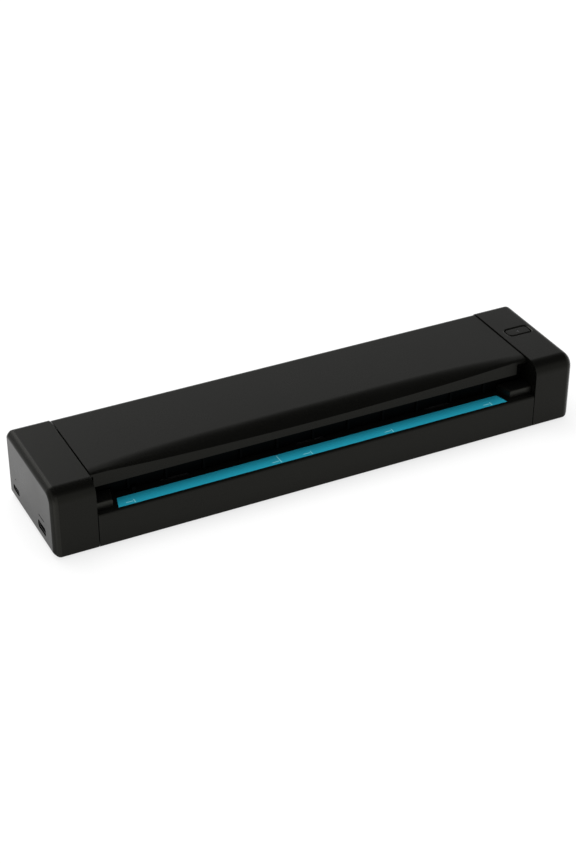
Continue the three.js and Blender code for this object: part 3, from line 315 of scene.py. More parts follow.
def grained(name, colour, roughness, specular=0.5, metallic=0.0, mottle=0.1, grain=GRAIN_SCALE, bump=0.0,
            stretch=(1, 1, 1), tint=WHITE):
    """A surface with slow changes of colour and gloss, and a fine grain in its relief."""
    mat, t = new_material(name)
    shader = t.add("BsdfPrincipled",
                   {"Metallic": metallic, "Specular IOR Level": specular, "Specular Tint": tint})
    turn = t.add("Mapping", {"Scale": stretch})
    t.join(t.add("TexCoord").outputs["Object"], turn.inputs["Vector"])
    slow = t.noise(turn.outputs[0], PATCH_SCALE, detail=3.0)
    fine = t.noise(turn.outputs[0], grain, detail=1.0)
    dark = tuple(c * (1 - mottle) for c in colour) + (1,)
    light = tuple(min(c * (1 + mottle), 1) for c in colour) + (1,)
    t.join(t.blend(slow, dark, light), shader.inputs["Base Color"])
    rough = t.math("ADD", t.spread(slow, -GLOSS_SWING, GLOSS_SWING),
                   t.spread(fine, roughness - GLOSS_SWING, roughness + GLOSS_SWING))
    t.join(rough, shader.inputs["Roughness"])
    if bump:
        relief = t.add("Bump", {"Strength": 1.0, "Distance": bump})
        t.join(fine, relief.inputs["Height"])
        t.join(relief.outputs[0], shader.inputs["Normal"])
    t.finish(shader)
    return mat


def striped(name, ground, line, axis, pitch, share, roughness):
    """Lines of another colour that follow one another along an axis."""
    mat, t = new_material(name)
    shader = t.add("BsdfPrincipled", {"Roughness": roughness})
    place = t.axes(t.add("TexCoord").outputs["Object"])
    step = t.math("FRACT", t.math("DIVIDE", place[axis], pitch))
    on = t.math("LESS_THAN", step, share)
    t.join(t.blend(on, (*ground, 1), (*line, 1)), shader.inputs["Base Color"])
    t.finish(shader)
    return mat


def board_finish(name):
    """Green solder mask over a web of tracks."""
    mat, t = new_material(name)
    shader = t.add("BsdfPrincipled", {"Roughness": BOARD_ROUGHNESS})
    where = t.add("TexCoord").outputs["Object"]
    cells = t.add("TexVoronoi", {"Scale": TRACK_SCALE}, feature="DISTANCE_TO_EDGE")
    t.join(where, cells.inputs["Vector"])
    track = t.math("LESS_THAN", cells.outputs["Distance"], TRACK_REACH)
    mask = t.blend(t.noise(where, MASK_SCALE), MASK_DARK, MASK_LIGHT)
    t.join(t.blend(track, mask, TRACK_COLOUR), shader.inputs["Base Color"])
    t.finish(shader)
    return mat


def glass_finish(name):
    """Clear glass with the faintest haze."""
    mat, t = new_material(name)
    shader = t.add("BsdfPrincipled",
                   {"Base Color": GLASS_COLOUR, "Transmission Weight": 1.0, "IOR": GLASS_INDEX})
    haze = t.noise(t.add("TexCoord").outputs["Object"], HAZE_SCALE)
    t.join(t.spread(haze, *HAZE), shader.inputs["Roughness"])
    t.finish(shader)
    return mat


# Each look by its name. The first eight, and board and glass below, are the record's slots. The others are
# for single pieces and faces: the two right after white are brighter, glossier copies of the shell's plastic,
# which paint highlights and glints on its edges.
WARM = (1.0, 1.0, 0.88, 1.0)
GRAINED = {
    "shell": dict(colour=(0.0022, 0.0022, 0.0019), roughness=0.3, specular=0.13, bump=2e-6, tint=WARM),
    "guide": dict(colour=(0.001, 0.001, 0.001), roughness=0.42, specular=0.08, bump=2e-6),
    "strip": dict(colour=(0.014, 0.295, 0.41), roughness=0.35, specular=0.4, mottle=0.04),
    "rubber": dict(colour=(0.012, 0.012, 0.012), roughness=0.75, specular=0.25, grain=3200, bump=8e-6),
    "steel": dict(colour=(0.5, 0.5, 0.51), roughness=0.32, metallic=1.0, stretch=(1, 14, 14), mottle=0.06),
    "brass": dict(colour=(0.6, 0.42, 0.16), roughness=0.3, metallic=1.0, mottle=0.08),
    "gear": dict(colour=(0.62, 0.6, 0.53), roughness=0.42, mottle=0.03),
    "white": dict(colour=(0.8, 0.8, 0.78), roughness=0.4, mottle=0.02),
    # Painted highlights: brighter, glossier copies of the shell's plastic for its edges and the button
    # opening's ends.
    "painted_highlight": dict(colour=(0.0026, 0.0026, 0.0023), roughness=0.26, specular=0.2, bump=1e-6, tint=WARM),
    "painted_glint": dict(colour=(0.003, 0.003, 0.0026), roughness=0.2, specular=0.6, bump=1e-6, tint=WARM),
    "blocks": dict(colour=(0.0022, 0.0022, 0.002), roughness=0.36, specular=0.26, bump=2e-6, tint=WARM),
    # Painted shade: the guide's black made darker and duller, for the parts deep in the throat.
    "shaded": dict(colour=(0.0006, 0.0006, 0.0006), roughness=0.5, specular=0.03, bump=2e-6),
    "ink": dict(colour=(0.2, 0.58, 0.66), roughness=0.5, mottle=0.05),
    "chip": dict(colour=(0.012, 0.012, 0.013), roughness=0.55, specular=0.4, grain=4000, bump=3e-6),
    "nickel": dict(colour=(0.06, 0.06, 0.06), roughness=0.42, metallic=1.0, mottle=0.1),
    "tongue": dict(colour=(0.008, 0.008, 0.009), roughness=0.5, specular=0.2, mottle=0.05),
    "gold": dict(colour=(0.75, 0.52, 0.2), roughness=0.3, metallic=1.0, mottle=0.05),
    "smoke": dict(colour=(0.03, 0.03, 0.032), roughness=0.15, specular=0.5, mottle=0.05),
}
STRIPED = {
    "cable": dict(ground=(0.7, 0.7, 0.68), line=(0.22, 0.21, 0.2), axis="Y",
                  pitch=0.0008, share=0.55, roughness=0.4),
    "lenses": dict(ground=(0.004, 0.004, 0.005), line=(0.05, 0.06, 0.07), axis="X",
                   pitch=0.001, share=0.6, roughness=0.15),
}
looks = {name: grained(name, **settings) for name, settings in GRAINED.items()}
looks.update({name: striped(name, **settings) for name, settings in STRIPED.items()})
looks["board"] = board_finish("board")
looks["glass"] = glass_finish("glass")

# A shell piece also holds the two looks that paint highlights, under these numbers.
HIGHLIGHT_LOOKS = ("painted_highlight", "painted_glint")
PLAIN_FACE, HIGHLIGHT_FACE, GLINT_FACE = 0, 1, 2


# Pieces. Points closer than WELD are one point, faces that turn by less than FLAT_ANGLE are one face, and
# what lies within NEAR of a place is on it. A small part sinks by SLIVER into what it sits on.

WELD = 1e-6
NEAR = 2e-5
SLIVER = 2e-5
FLAT_ANGLE = math.radians(0.2)
SHARP_ANGLE = math.radians(35)
EASE_STEPS = 3
EASE_PROFILE = 0.5

slot_of = {part["node"]: part["material_slot"] for part in frame["record"]["subparts"]
           if part["node"] in nodes}


def add_piece(name, bm, body, slot, look=None, stands_for=None):
    """Turns a mesh in the making into a piece that rides on a body. Without a look it takes its slot's."""
    bmesh.ops.recalc_face_normals(bm, faces=bm.faces)
    for face in bm.faces:
        face.smooth = True
    for edge in bm.edges:
        edge.smooth = edge.calc_face_angle(math.pi) < SHARP_ANGLE
    mesh = bpy.data.meshes.new(name)
    bm.to_mesh(mesh)
    bm.free()
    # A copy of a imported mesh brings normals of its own, which would undo the ones worked out here.
    if "custom_normal" in mesh.attributes:
        mesh.attributes.remove(mesh.attributes["custom_normal"])
    for kind in (look or slot, *(HIGHLIGHT_LOOKS if slot == "shell" else ())):
        mesh.materials.append(looks[kind])
    piece = link(bpy.data.objects.new(name, mesh))
    even = piece.modifiers.new("even_faces", "WEIGHTED_NORMAL")
    even.keep_sharp = True
    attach(piece, body)
    if stands_for:
        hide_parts(stands_for)
    return piece


def stand_in(node, bm, suffix="surface", look=None):
    """Adds a piece that stands for one node and takes its body and slot."""
    return add_piece(f"{node}_{suffix}", bm, nodes[node]["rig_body"], slot_of[node], look, node)


def break_edges(bm, width, wanted=lambda edge: True):
    """Rounds the sharp edges that are wanted, and gives the faces this makes."""
    edges = [edge for edge in bm.edges if edge.calc_face_angle(0) > SHARP_ANGLE and wanted(edge)]
    return bmesh.ops.bevel(bm, geom=edges, offset=width, segments=EASE_STEPS, profile=EASE_PROFILE,
                           affect="EDGES", material=PLAIN_FACE)["faces"]


def box(bm, low, high):
    """Adds a closed box between two corners."""
    made = bmesh.ops.create_cube(bm, size=1)
    size = Vector(high) - Vector(low)
    middle = (Vector(high) + Vector(low)) / 2
    for vert in made["verts"]:
        vert.co = Vector([vert.co[k] * size[k] + middle[k] for k in (X, Y, Z)])
    return made["verts"]


def eased_box(name, low, high, ease, body, slot, look=None):
    """A small block with its edges broken."""
    bm = bmesh.new()
    box(bm, low, high)
    break_edges(bm, ease)
    return add_piece(name, bm, body, slot, look)


def loose(name, bm):
    """An object that is used for its shape alone."""
    bmesh.ops.recalc_face_normals(bm, faces=bm.faces)
    mesh = bpy.data.meshes.new(name)
    bm.to_mesh(mesh)
    bm.free()
    return link(bpy.data.objects.new(name, mesh))


def cut_away(bm, tool_bm):
    """Cuts one shape out of another."""
    body, tool = loose("cut_body", bm), loose("cut_tool", tool_bm)
    cut = body.modifiers.new("cut", "BOOLEAN")
    cut.operation, cut.solver, cut.object = "DIFFERENCE", "EXACT", tool
    cut.use_self = True
    done = body.evaluated_get(bpy.context.evaluated_depsgraph_get())
    result = bmesh.new()
    result.from_mesh(done.to_mesh())
    done.to_mesh_clear()
    for obj in (body, tool):
        bpy.data.objects.remove(obj)
    return result


# Shells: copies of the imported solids, with their outer rims rounded.

# An outer rim lies this close to its node's box, between faces that don't look straight along the rim's axis.
OUTLINE_REACH = 0.005
STRAIGHT_SHARE = 0.9

# The eased edges along the seams and on thin pieces, and how much shorter than its solid the lid is.
SEAM_EASE = 0.00012
THIN_EASE = 0.00015
LEFT_SHADE = 0.0006
RIGHT_SHADE = 0.0002

# The covers' closed ends: the solid's rim slants over END_CHAMFER, and the piece's rim over RIM_SLANT, with a
# rounding towards the outline, and one towards the end that runs on into it by END_EASE.
END_CHAMFER = 0.003
RIM_SLANT = 0.0024
RIM_EASE = 0.0014
FACET_EASE = 0.0014
END_EASE = 0.0007
ARC_STEPS = 4

# The crease over the lid's front band: it starts to sink at one distance from the lid's middle, and is down
# by CREASE_SINK at another.
CREASE_ABOVE = 0.034
CREASE_SINK = 0.0004
SINK_FROM = 0.04
SINK_TO = 0.1

# The button. Its cap is what rises over its lip, and the light's bore lies within BORE_REACH of its middle.
OPENING_EASE = 0.0006
BUTTON_SHADE = 0.00025
BUTTON_EASE = 0.0009
CAP_RISE = 0.0008
BORE_REACH = 0.0025

# The lines over the sockets.
MARK_DEPTH = 0.0003
MARK_HALF = 0.0003
MARK_HEIGHT = 0.0158
MARK_LENGTHS = {"data_socket": 0.008, "power_socket": 0.0014}


def joined(node):
    """A copy of a node's mesh with its facets joined into whole faces."""
    bm = bmesh.new()
    bm.from_mesh(nodes[node].data)
    bmesh.ops.remove_doubles(bm, verts=bm.verts, dist=WELD)
    bmesh.ops.dissolve_limit(bm, angle_limit=FLAT_ANGLE, verts=bm.verts, edges=bm.edges)
    return bm


def on_plane(edge, axis, place):
    return all(abs(vert.co[axis] - place) < NEAR for vert in edge.verts)


def on_outline(edge, axis, low, high):
    """Whether an edge on a rim is on its outline: close to the node's box, at a face that looks outwards."""
    middle = (edge.verts[0].co + edge.verts[1].co) / 2
    inset = min(min(middle[k] - low[k], high[k] - middle[k]) for k in (X, Y, Z) if k != axis)
    outwards = middle - (low + high) / 2
    outwards[axis] = 0
    return inset < OUTLINE_REACH and any(
        abs(face.normal[axis]) < STRAIGHT_SHARE and face.normal.dot(outwards) > 0 for face in edge.link_faces)


def shell(node, rims=(), look=None, bm=None):
    """A copy of a node, or its shape so far, with its outer rims rounded: each is [axis, place, width]."""
    if bm is None:
        bm = joined(node)
    low, high, _ = box_of(node)
    for axis, place, width in rims:
        break_edges(bm, width,
                    lambda edge: on_plane(edge, axis, place) and on_outline(edge, axis, low, high))
    return stand_in(node, bm, look=look)


def arc_between(start, corner, end):
    """Points of a smooth turn from one line into the next, as [across, up]."""
    return [tuple((1 - t) ** 2 * a + 2 * t * (1 - t) * b + t ** 2 * c for a, b, c in zip(start, corner, end))
            for t in (k / ARC_STEPS for k in range(ARC_STEPS + 1))]


def rim_profile():
    """The rim of a cover's end, as [distance from the end, distance in from the outline] points."""
    rise, fall = RIM_EASE / math.sqrt(2), FACET_EASE / math.sqrt(2)
    outer = arc_between((RIM_SLANT + RIM_EASE, 0), (RIM_SLANT, 0), (RIM_SLANT - rise, rise))
    inner = arc_between((fall, RIM_SLANT - fall), (0, RIM_SLANT), (0, RIM_SLANT + END_EASE))
    return outer, inner


def rim_columns(bm, slanting, end, side, points):
    """New points across the rim, by the corners that they run between, and where those corners go."""
    columns, moves = {}, []
    for edge in dict.fromkeys(edge for face in slanting for edge in face.edges):
        outer, inner = sorted(edge.verts, key=lambda vert: abs(vert.co.x - end), reverse=True)
        if abs(outer.co.x - inner.co.x) > NEAR:
            step = (inner.co - outer.co) / END_CHAMFER
            places = [Vector((end + side * along, outer.co.y + step.y * inset, outer.co.z + step.z * inset))
                      for along, inset in points]
            columns[outer] = columns[inner] = [outer, *(bm.verts.new(at) for at in places[1:-1]), inner]
            moves += [(outer, places[0]), (inner, places[-1])]
    return columns, moves


def soften_rim(bm, end, side):
    """Gives the slanting rim of a cover's end its moulded roundings, and gives the outer one the brighter,
    glossier look that paints a highlight line along it.
    """
    rim = end + side * END_CHAMFER
    slanting = [face for face in bm.faces if STRAIGHT_SHARE > abs(face.normal.x) > 1 - STRAIGHT_SHARE
                and all(min(abs(vert.co.x - rim), abs(vert.co.x - end)) < NEAR for vert in face.verts)]
    outer, inner = rim_profile()
    columns, moves = rim_columns(bm, slanting, end, side, outer + inner)
    spans = [[edge.verts[:] for edge in face.edges if on_plane(edge, X, rim)][0] for face in slanting]
    bmesh.ops.delete(bm, geom=slanting, context="FACES_ONLY")
    for first, second in spans:
        here, there = columns[first], columns[second]
        for k in range(len(here) - 1):
            face = bm.faces.new((here[k], there[k], there[k + 1], here[k + 1]))
            face.material_index = HIGHLIGHT_FACE if k < len(outer) - 1 else PLAIN_FACE
    for vert, at in moves:
        vert.co = at


def socket_marks():
    """A line over each socket, cut into the end: a long one and a short one tell them apart."""
    face = end_of("left_end_cover", LOW)
    for node, length in MARK_LENGTHS.items():
        line = box_of(node)[2].y
        yield ((face - MARK_DEPTH, line - length / 2, MARK_HEIGHT - MARK_HALF),
               (face + MARK_DEPTH, line + length / 2, MARK_HEIGHT + MARK_HALF))


def ease_opening(bm, node, top):
    """Rounds the edge of the opening that a node looks out of. Its two ends take the brighter, glossier look
    that paints glints on them.
    """
    low, high, _ = box_of(node)

    def round_the_node(edge):
        return on_plane(edge, Z, top) and all(
            low.x < vert.co.x < high.x and low.y < vert.co.y < high.y for vert in edge.verts)

    for face in break_edges(bm, OPENING_EASE, round_the_node):
        face.normal_update()
        if abs(face.normal.x) > abs(face.normal.y):
            face.material_index = GLINT_FACE


def left_end_cover(node):
    """The cover with the sockets: marked and softened at its end, with an eased edge along the seam."""
    bm = joined(node)
    for low, high in socket_marks():
        mark = bmesh.new()
        box(mark, low, high)
        bm = cut_away(bm, mark)
    soften_rim(bm, end_of(node, LOW), 1)
    return shell(node, [(X, end_of(node, HIGH), SEAM_EASE)], bm=bm)


def right_end_cover(node):
    """The cover with the button: softened round it and at its end, with an eased edge along the seam."""
    bm = joined(node)
    ease_opening(bm, "scan_button", end_of(node, HIGH, Z))
    soften_rim(bm, end_of(node, HIGH), -1)
    return shell(node, [(X, end_of(node, LOW), SEAM_EASE)], bm=bm)


def sink_crease(bm, face):
    """Makes the bevel's last fall steeper towards the ends, where its crease is a crisp dark line."""
    for vert in bm.verts:
        if abs(vert.co.y - face) < NEAR and vert.co.z > CREASE_ABOVE:
            vert.co.z -= CREASE_SINK * min(max((abs(vert.co.x) - SINK_FROM) / (SINK_TO - SINK_FROM), 0), 1)


def top_cover(node):
    """The lid, a shade shorter than its solid, so that its seams read as dark lines."""
    bm = joined(node)
    rims = []
    for end, shade in ((end_of(node, LOW), LEFT_SHADE), (end_of(node, HIGH), -RIGHT_SHADE)):
        for vert in bm.verts:
            if abs(vert.co.x - end) < NEAR:
                vert.co.x += shade
        rims.append((X, end + shade, SEAM_EASE))
    sink_crease(bm, end_of(node, LOW, Y))
    return shell(node, rims, bm=bm)


def button(node):
    """The button, its cap drawn in by a shade so that its outline reads, and its top well rounded."""
    middle = box_of(node)[2]
    top = end_of(node, HIGH, Z)
    bm = joined(node)
    for vert in bm.verts:
        if vert.co.z > top - CAP_RISE and (vert.co - middle).xy.length > BORE_REACH:
            for k in (X, Y):
                vert.co[k] -= math.copysign(BUTTON_SHADE, vert.co[k] - middle[k])
    return shell(node, [(Z, top, BUTTON_EASE)], bm=bm)


# Turned pieces. Their outlines are [distance along, radius] points, and where one has no bore it keeps a
# hair-thin one of radius CORE. Corners are broken by EDGE or half of it.

ROUND_SIDES = 48
CORE = 0.0001
EDGE = 0.0004
HALF_EDGE = EDGE / 2
CORNER_SHARE = 0.3
ROD_CHAMFER = 0.0003

TYRE_BORE = 0.0026
TYRE_ROUND = 0.0006
TYRE_RIBS = 40
TYRE_GROOVE = 0.00018
SIDES_PER_RIB = 6

PINCH_BORE = 0.0013
PINCH_SINK = 0.0006
PINCH_RING_SHARES = (0.5, 0.56, 0.76, 0.82)

BUSH_BORE = 0.00258
BUSH_RADIUS = 0.004
BUSH_FLANGE = 0.0008
PIN_RADIUS = 0.0015
PIN_HEAD = 0.001

FOOT_GROOVE = 0.0002
FOOT_RING_SHARES = (0.34, 0.66)
FOOT_RING_WIDTH_SHARE = 0.08

# The motor: its can has a rolled groove in its rim, given in steps of EDGE from its front face.
MOTOR_LENGTH = 0.009
MOTOR_BORE = 0.00108
MOTOR_BOSS = 0.0026
MOTOR_ROUND = 0.0006
ROLL_STEPS = (3, 3.5, 4.5, 5)

# The button's light: the dome's height, and the shares at its shoulder and at its top.
LENS_DOME = 0.0002
SHOULDER_FALL_SHARE = 0.4
SHOULDER_SHARE = 0.75
SUMMIT_SHARE = 0.35


def bridge(bm, here, there):
    """Joins two closed loops of as many points by a band of faces."""
    for j in range(len(here)):
        after = (j + 1) % len(here)
        bm.faces.new((here[j], there[j], there[after], here[after]))


def turned(profile, centre, along, sides=ROUND_SIDES, ribs=0, groove=0.0):
    """Turns a closed outline about a line, with grooves along its widest part if asked."""
    along = Vector(along)
    across = along.orthogonal().normalized()
    upright = along.cross(across)
    widest = max(radius for _, radius in profile)
    bm = bmesh.new()
    rings = []
    for k in range(sides):
        angle = 2 * math.pi * k / sides
        out = across * math.cos(angle) + upright * math.sin(angle)
        dip = groove * (1 - math.cos(angle * ribs)) / 2
        rings.append([bm.verts.new(Vector(centre) + along * d + out * (r - (dip if r == widest else 0)))
                      for d, r in profile])
    for k in range(sides):
        bridge(bm, rings[k], rings[(k + 1) % sides])
    return bm


def mirrored(half):
    """Completes an outline that is the same at both ends of a round piece."""
    return half + [(-d, r) for d, r in reversed(half)]


def rounded(start, radius, ease):
    """The outer corner at the start of an outline, rounded in two steps."""
    middle = ease * CORNER_SHARE
    return [(start, radius - ease), (start + middle, radius - middle), (start + ease, radius)]


def round_sizes(node):
    """The middle of a round node that lies along X, its half length and its radius."""
    low, high, middle = box_of(node)
    return middle, (high.x - low.x) / 2, (high.z - low.z) / 2


def upright_sizes(node):
    """The foot of a round node that stands up, its height and its radius."""
    low, high, middle = box_of(node)
    return (middle.x, middle.y, low.z), high.z - low.z, (high.x - low.x) / 2


def rod(node):
    """A round bar with chamfered ends."""
    middle, half, radius = round_sizes(node)
    profile = mirrored([(-half, CORE), (-half, radius - ROD_CHAMFER), (-half + ROD_CHAMFER, radius)])
    return stand_in(node, turned(profile, middle, ALONG_X), "turned")


def tyre(node):
    """A rubber tyre with rounded shoulders and fine grooves along it."""
    middle, half, radius = round_sizes(node)
    profile = mirrored([(-half, TYRE_BORE), *rounded(-half, radius, TYRE_ROUND)])
    bm = turned(profile, middle, ALONG_X, TYRE_RIBS * SIDES_PER_RIB, TYRE_RIBS, TYRE_GROOVE)
    return stand_in(node, bm, "ribbed")


def pinch_roller(node):
    """A moulded roller with rounded edges and a sunk ring in each face."""
    middle, half, radius = round_sizes(node)
    hub, floor_from, floor_to, brim = (radius * share for share in PINCH_RING_SHARES)
    profile = mirrored([(-half, PINCH_BORE), (-half, hub), (-half + PINCH_SINK, floor_from),
                        (-half + PINCH_SINK, floor_to), (-half, brim), *rounded(-half, radius, EDGE)])
    return stand_in(node, turned(profile, middle, ALONG_X), "moulded")


def bush(node, side):
    """A flanged bush with its corners broken; its flange is on the outside."""
    middle, half, radius = round_sizes(node)
    flange = half - BUSH_FLANGE
    profile = [(-half, BUSH_BORE), (-half, BUSH_RADIUS - HALF_EDGE), (-half + HALF_EDGE, BUSH_RADIUS),
               (flange, BUSH_RADIUS), (flange, radius - HALF_EDGE), (flange + HALF_EDGE, radius),
               (half - HALF_EDGE, radius), (half, radius - HALF_EDGE), (half, BUSH_BORE)]
    return stand_in(node, turned(profile, middle, (side, 0, 0)), "turned")


def hinge_pin(node, side):
    """A pin with a head on the outside, a broken corner on it, and a chamfered tip."""
    middle, half, radius = round_sizes(node)
    head = half - PIN_HEAD
    profile = [(-half, CORE), (-half, PIN_RADIUS - EDGE), (-half + EDGE, PIN_RADIUS), (head, PIN_RADIUS),
               (head, radius), (half - EDGE, radius), (half, radius - EDGE), (half, CORE)]
    return stand_in(node, turned(profile, middle, (side, 0, 0)), "turned")


def foot(node):
    """A rubber foot with a rounded rim and two shallow rings underneath."""
    base, height, radius = upright_sizes(node)
    profile = [(0, CORE)]
    for share in FOOT_RING_SHARES:
        profile += [(0, radius * share), (FOOT_GROOVE, radius * (share + FOOT_RING_WIDTH_SHARE / 2)),
                    (0, radius * (share + FOOT_RING_WIDTH_SHARE))]
    profile += [*rounded(0, radius, EDGE), (height, radius), (height, CORE)]
    return stand_in(node, turned(profile, base, ALONG_Z), "moulded")


def motor_can(node):
    """A drawn can with a rolled groove in its rim, and a boss round the shaft."""
    low, high, middle = box_of(node)
    radius = (high.z - low.z) / 2
    face = high.x - MOTOR_LENGTH
    start, fall, rise, stop = (face + EDGE * step for step in ROLL_STEPS)
    boss = [(low.x, MOTOR_BORE), (low.x, MOTOR_BOSS - HALF_EDGE), (low.x + HALF_EDGE, MOTOR_BOSS),
            (face, MOTOR_BOSS)]
    front = [(face, radius - EDGE), (face + EDGE, radius)]
    groove = [(start, radius), (fall, radius - HALF_EDGE), (rise, radius - HALF_EDGE), (stop, radius)]
    back = [(high.x - MOTOR_ROUND, radius), (high.x - HALF_EDGE, radius - HALF_EDGE),
            (high.x, radius - MOTOR_ROUND), (high.x, MOTOR_BOSS),
            (high.x - HALF_EDGE, MOTOR_BOSS - HALF_EDGE), (high.x - HALF_EDGE, CORE)]
    profile = boss + front + groove + back + [(face, CORE), (face, MOTOR_BORE)]
    return stand_in(node, turned(profile, (0, middle.y, middle.z), ALONG_X), "can")


def status_dome(node):
    """The small light of the scan button: a smoked lens with a low dome."""
    base, height, radius = upright_sizes(node)
    profile = [(0, CORE), (0, radius), (height - LENS_DOME, radius),
               (height - LENS_DOME * SHOULDER_FALL_SHARE, radius * SHOULDER_SHARE),
               (height, radius * SUMMIT_SHARE), (height, CORE)]
    return stand_in(node, turned(profile, base, ALONG_Z), "dome", "smoke")


# Screws with a crosswise recess.

SCREW_SIDES = 32
SCREW_HEAD = 0.0013
SCREW_SHANK = 0.0011
SCREW_TIP_SHARE = 0.3
THREAD_PITCH = 0.0008
THREAD_DEPTH = 0.00025
RECESS_DEPTH = 0.0009
RECESS_REACH = 0.0013
RECESS_HALF = 0.00032
RECESS_TAPER_SHARE = 0.6


def screw_form(radius, length):
    """A screw from its head up: a rounded head, then a shank with a ridged outline."""
    profile = [(0, CORE), *rounded(0, radius, EDGE), (SCREW_HEAD, radius), (SCREW_HEAD, SCREW_SHANK)]
    at = SCREW_HEAD + THREAD_PITCH
    while at + THREAD_PITCH < length:
        profile += [(at, SCREW_SHANK - THREAD_DEPTH), (at + THREAD_PITCH / 2, SCREW_SHANK)]
        at += THREAD_PITCH
    return profile + [(length, SCREW_SHANK * SCREW_TIP_SHARE), (length, CORE)]


def recess_form():
    """The cross that is cut into a head at height 0: two tapering blades."""
    bm = bmesh.new()
    for wide, deep in ((RECESS_REACH, RECESS_HALF), (RECESS_HALF, RECESS_REACH)):
        for vert in box(bm, (-wide, -deep, -EDGE), (wide, deep, RECESS_DEPTH)):
            if vert.co.z > 0:
                vert.co.x *= RECESS_TAPER_SHARE
                vert.co.y *= RECESS_TAPER_SHARE
    return bm


def screw(node):
    base, length, radius = upright_sizes(node)
    whole = turned(screw_form(radius, length), (0, 0, 0), ALONG_Z, sides=SCREW_SIDES)
    bm = cut_away(whole, recess_form())
    bmesh.ops.translate(bm, verts=bm.verts, vec=base)
    return stand_in(node, bm, "cross_head")


# The sockets in the left end.

SHELL_WALL = 0.0004
SHELL_ROLL = 0.00015
SOCKET_CORNER = 0.001
CORNER_STEPS = 6
TONGUE_SETBACK = SHELL_WALL * 2
TONGUE_EASE = SHELL_ROLL / 2
TONGUE_WIDTH_SHARE = 0.5
TONGUE_HEIGHT_SHARE = 0.25
CONTACTS = 5
CONTACT_HALF = 0.00015
CONTACT_RISE = 0.00006
CONTACT_EASE = CONTACT_RISE / 4


def rounded_outline(width, height, radius):
    """A rounded rectangle about the origin, as [across, up] points."""
    points = []
    for quarter, (across, up) in enumerate(((1, 1), (-1, 1), (-1, -1), (1, -1))):
        for step in range(CORNER_STEPS + 1):
            angle = (quarter + step / CORNER_STEPS) * math.pi / 2
            points.append((across * (width / 2 - radius) + radius * math.cos(angle),
                           up * (height / 2 - radius) + radius * math.sin(angle)))
    return points


def socket_shell(node):
    """The drawn metal shell, with its mouth rolled inwards and closed at the back."""
    low, high, middle = box_of(node)
    width, height = high.y - low.y, high.z - low.z
    outside = [(low.x + SHELL_ROLL, 0), (high.x, 0)]
    inside = [(high.x - SHELL_WALL, SHELL_WALL), (low.x + SHELL_ROLL, SHELL_WALL)]
    mouth = [(low.x, SHELL_WALL - SHELL_ROLL), (low.x, SHELL_ROLL)]
    bm = bmesh.new()
    loops = []
    for x, inset in inside + mouth + outside:
        outline = rounded_outline(width - inset * 2, height - inset * 2, SOCKET_CORNER - inset)
        loops.append([bm.verts.new((x, middle.y + across, middle.z + up)) for across, up in outline])
    for here, there in zip(loops, loops[1:]):
        bridge(bm, here, there)
    bm.faces.new(loops[0])
    bm.faces.new(loops[-1])
    return stand_in(node, bm, "shell", "nickel")


def socket_tongue(node):
    """The tongue in a socket, with its row of contacts."""
    low, high, middle = box_of(node)
    half = (high.y - low.y) * TONGUE_WIDTH_SHARE / 2
    rise = (high.z - low.z) * TONGUE_HEIGHT_SHARE / 2
    near, far = low.x + TONGUE_SETBACK, high.x - SHELL_WALL
    top = middle.z + rise
    eased_box(node + "_tongue", (near, middle.y - half, middle.z - rise), (far, middle.y + half, top),
              TONGUE_EASE, "base", "guide", "tongue")
    for k in range(1, CONTACTS + 1):
        y = middle.y + half * (2 * k / (CONTACTS + 1) - 1)
        eased_box(f"{node}_contact_{k}", (near + SHELL_ROLL, y - CONTACT_HALF, top - CONTACT_RISE),
                  (far, y + CONTACT_HALF, top + CONTACT_RISE), CONTACT_EASE, "base", "steel", "gold")


# The scan module's inside, in the slot under its glass. Shares are of the slot's depth, or of its half width
# from the line that it reads.

SLOT_HALF = 0.002
SLOT_DEPTH = 0.0025
SLOT_MARGIN = 0.0042
INSERT_EASE = 0.0001
BAR_SIDE_SHARES = (0.2, 0.9)
BAR_TOP_SHARE = 0.2
BAR_FALL_SHARE = 0.35
LENS_SIDE_SHARES = (-0.8, -0.1)
LENS_TOP_SHARE = 0.35


def slot_insert(node, side_shares, top_share):
    """A long block in the slot, with its points, its near side and its top."""
    low, high, middle = box_of(node)
    near, far = (middle.y + SLOT_HALF * share for share in side_shares)
    bottom, top = high.z - SLOT_DEPTH, high.z - SLOT_DEPTH * top_share
    bm = bmesh.new()
    points = box(bm, (low.x + SLOT_MARGIN, near, bottom), (high.x - SLOT_MARGIN, far, top))
    return bm, points, near, top


def light_bar(node):
    """A clear bar with a slanting face that throws light on the page."""
    bm, points, near, top = slot_insert(node, BAR_SIDE_SHARES, BAR_TOP_SHARE)
    for vert in points:
        if vert.co.z > top - NEAR and vert.co.y < near + NEAR:
            vert.co.z -= SLOT_DEPTH * BAR_FALL_SHARE
    break_edges(bm, INSERT_EASE)
    return add_piece("scan_light_bar", bm, "base", "white")


def lens_row(node):
    """The row of rod lenses that reads the page."""
    bm, *_ = slot_insert(node, LENS_SIDE_SHARES, LENS_TOP_SHARE)
    break_edges(bm, INSERT_EASE)
    return add_piece("scan_lens_row", bm, "base", "glass", "lenses")


# The larger parts on the main board, beside the processor and the cable's plug that its node has. Places are
# given as the distance from the board's outer edge, and the place from front to back.

BOARD_THICKNESS = 0.0016

CAPACITORS = 2
CAPACITOR_INSET = 0.004
CAPACITOR_FIRST = 0.0102
CAPACITOR_STEP = 0.0175
CAPACITOR_RADIUS = 0.0021
CAPACITOR_HEIGHT = 0.0054
CAPACITOR_WAIST_SHARE = 0.9
CAPACITOR_GROOVE_SHARES = (0.12, 0.18, 0.26)

CRYSTAL_FROM = (0.0065, 0.0072)
CRYSTAL_TO = (0.0097, 0.0122)
CRYSTAL_HEIGHT = 0.0008

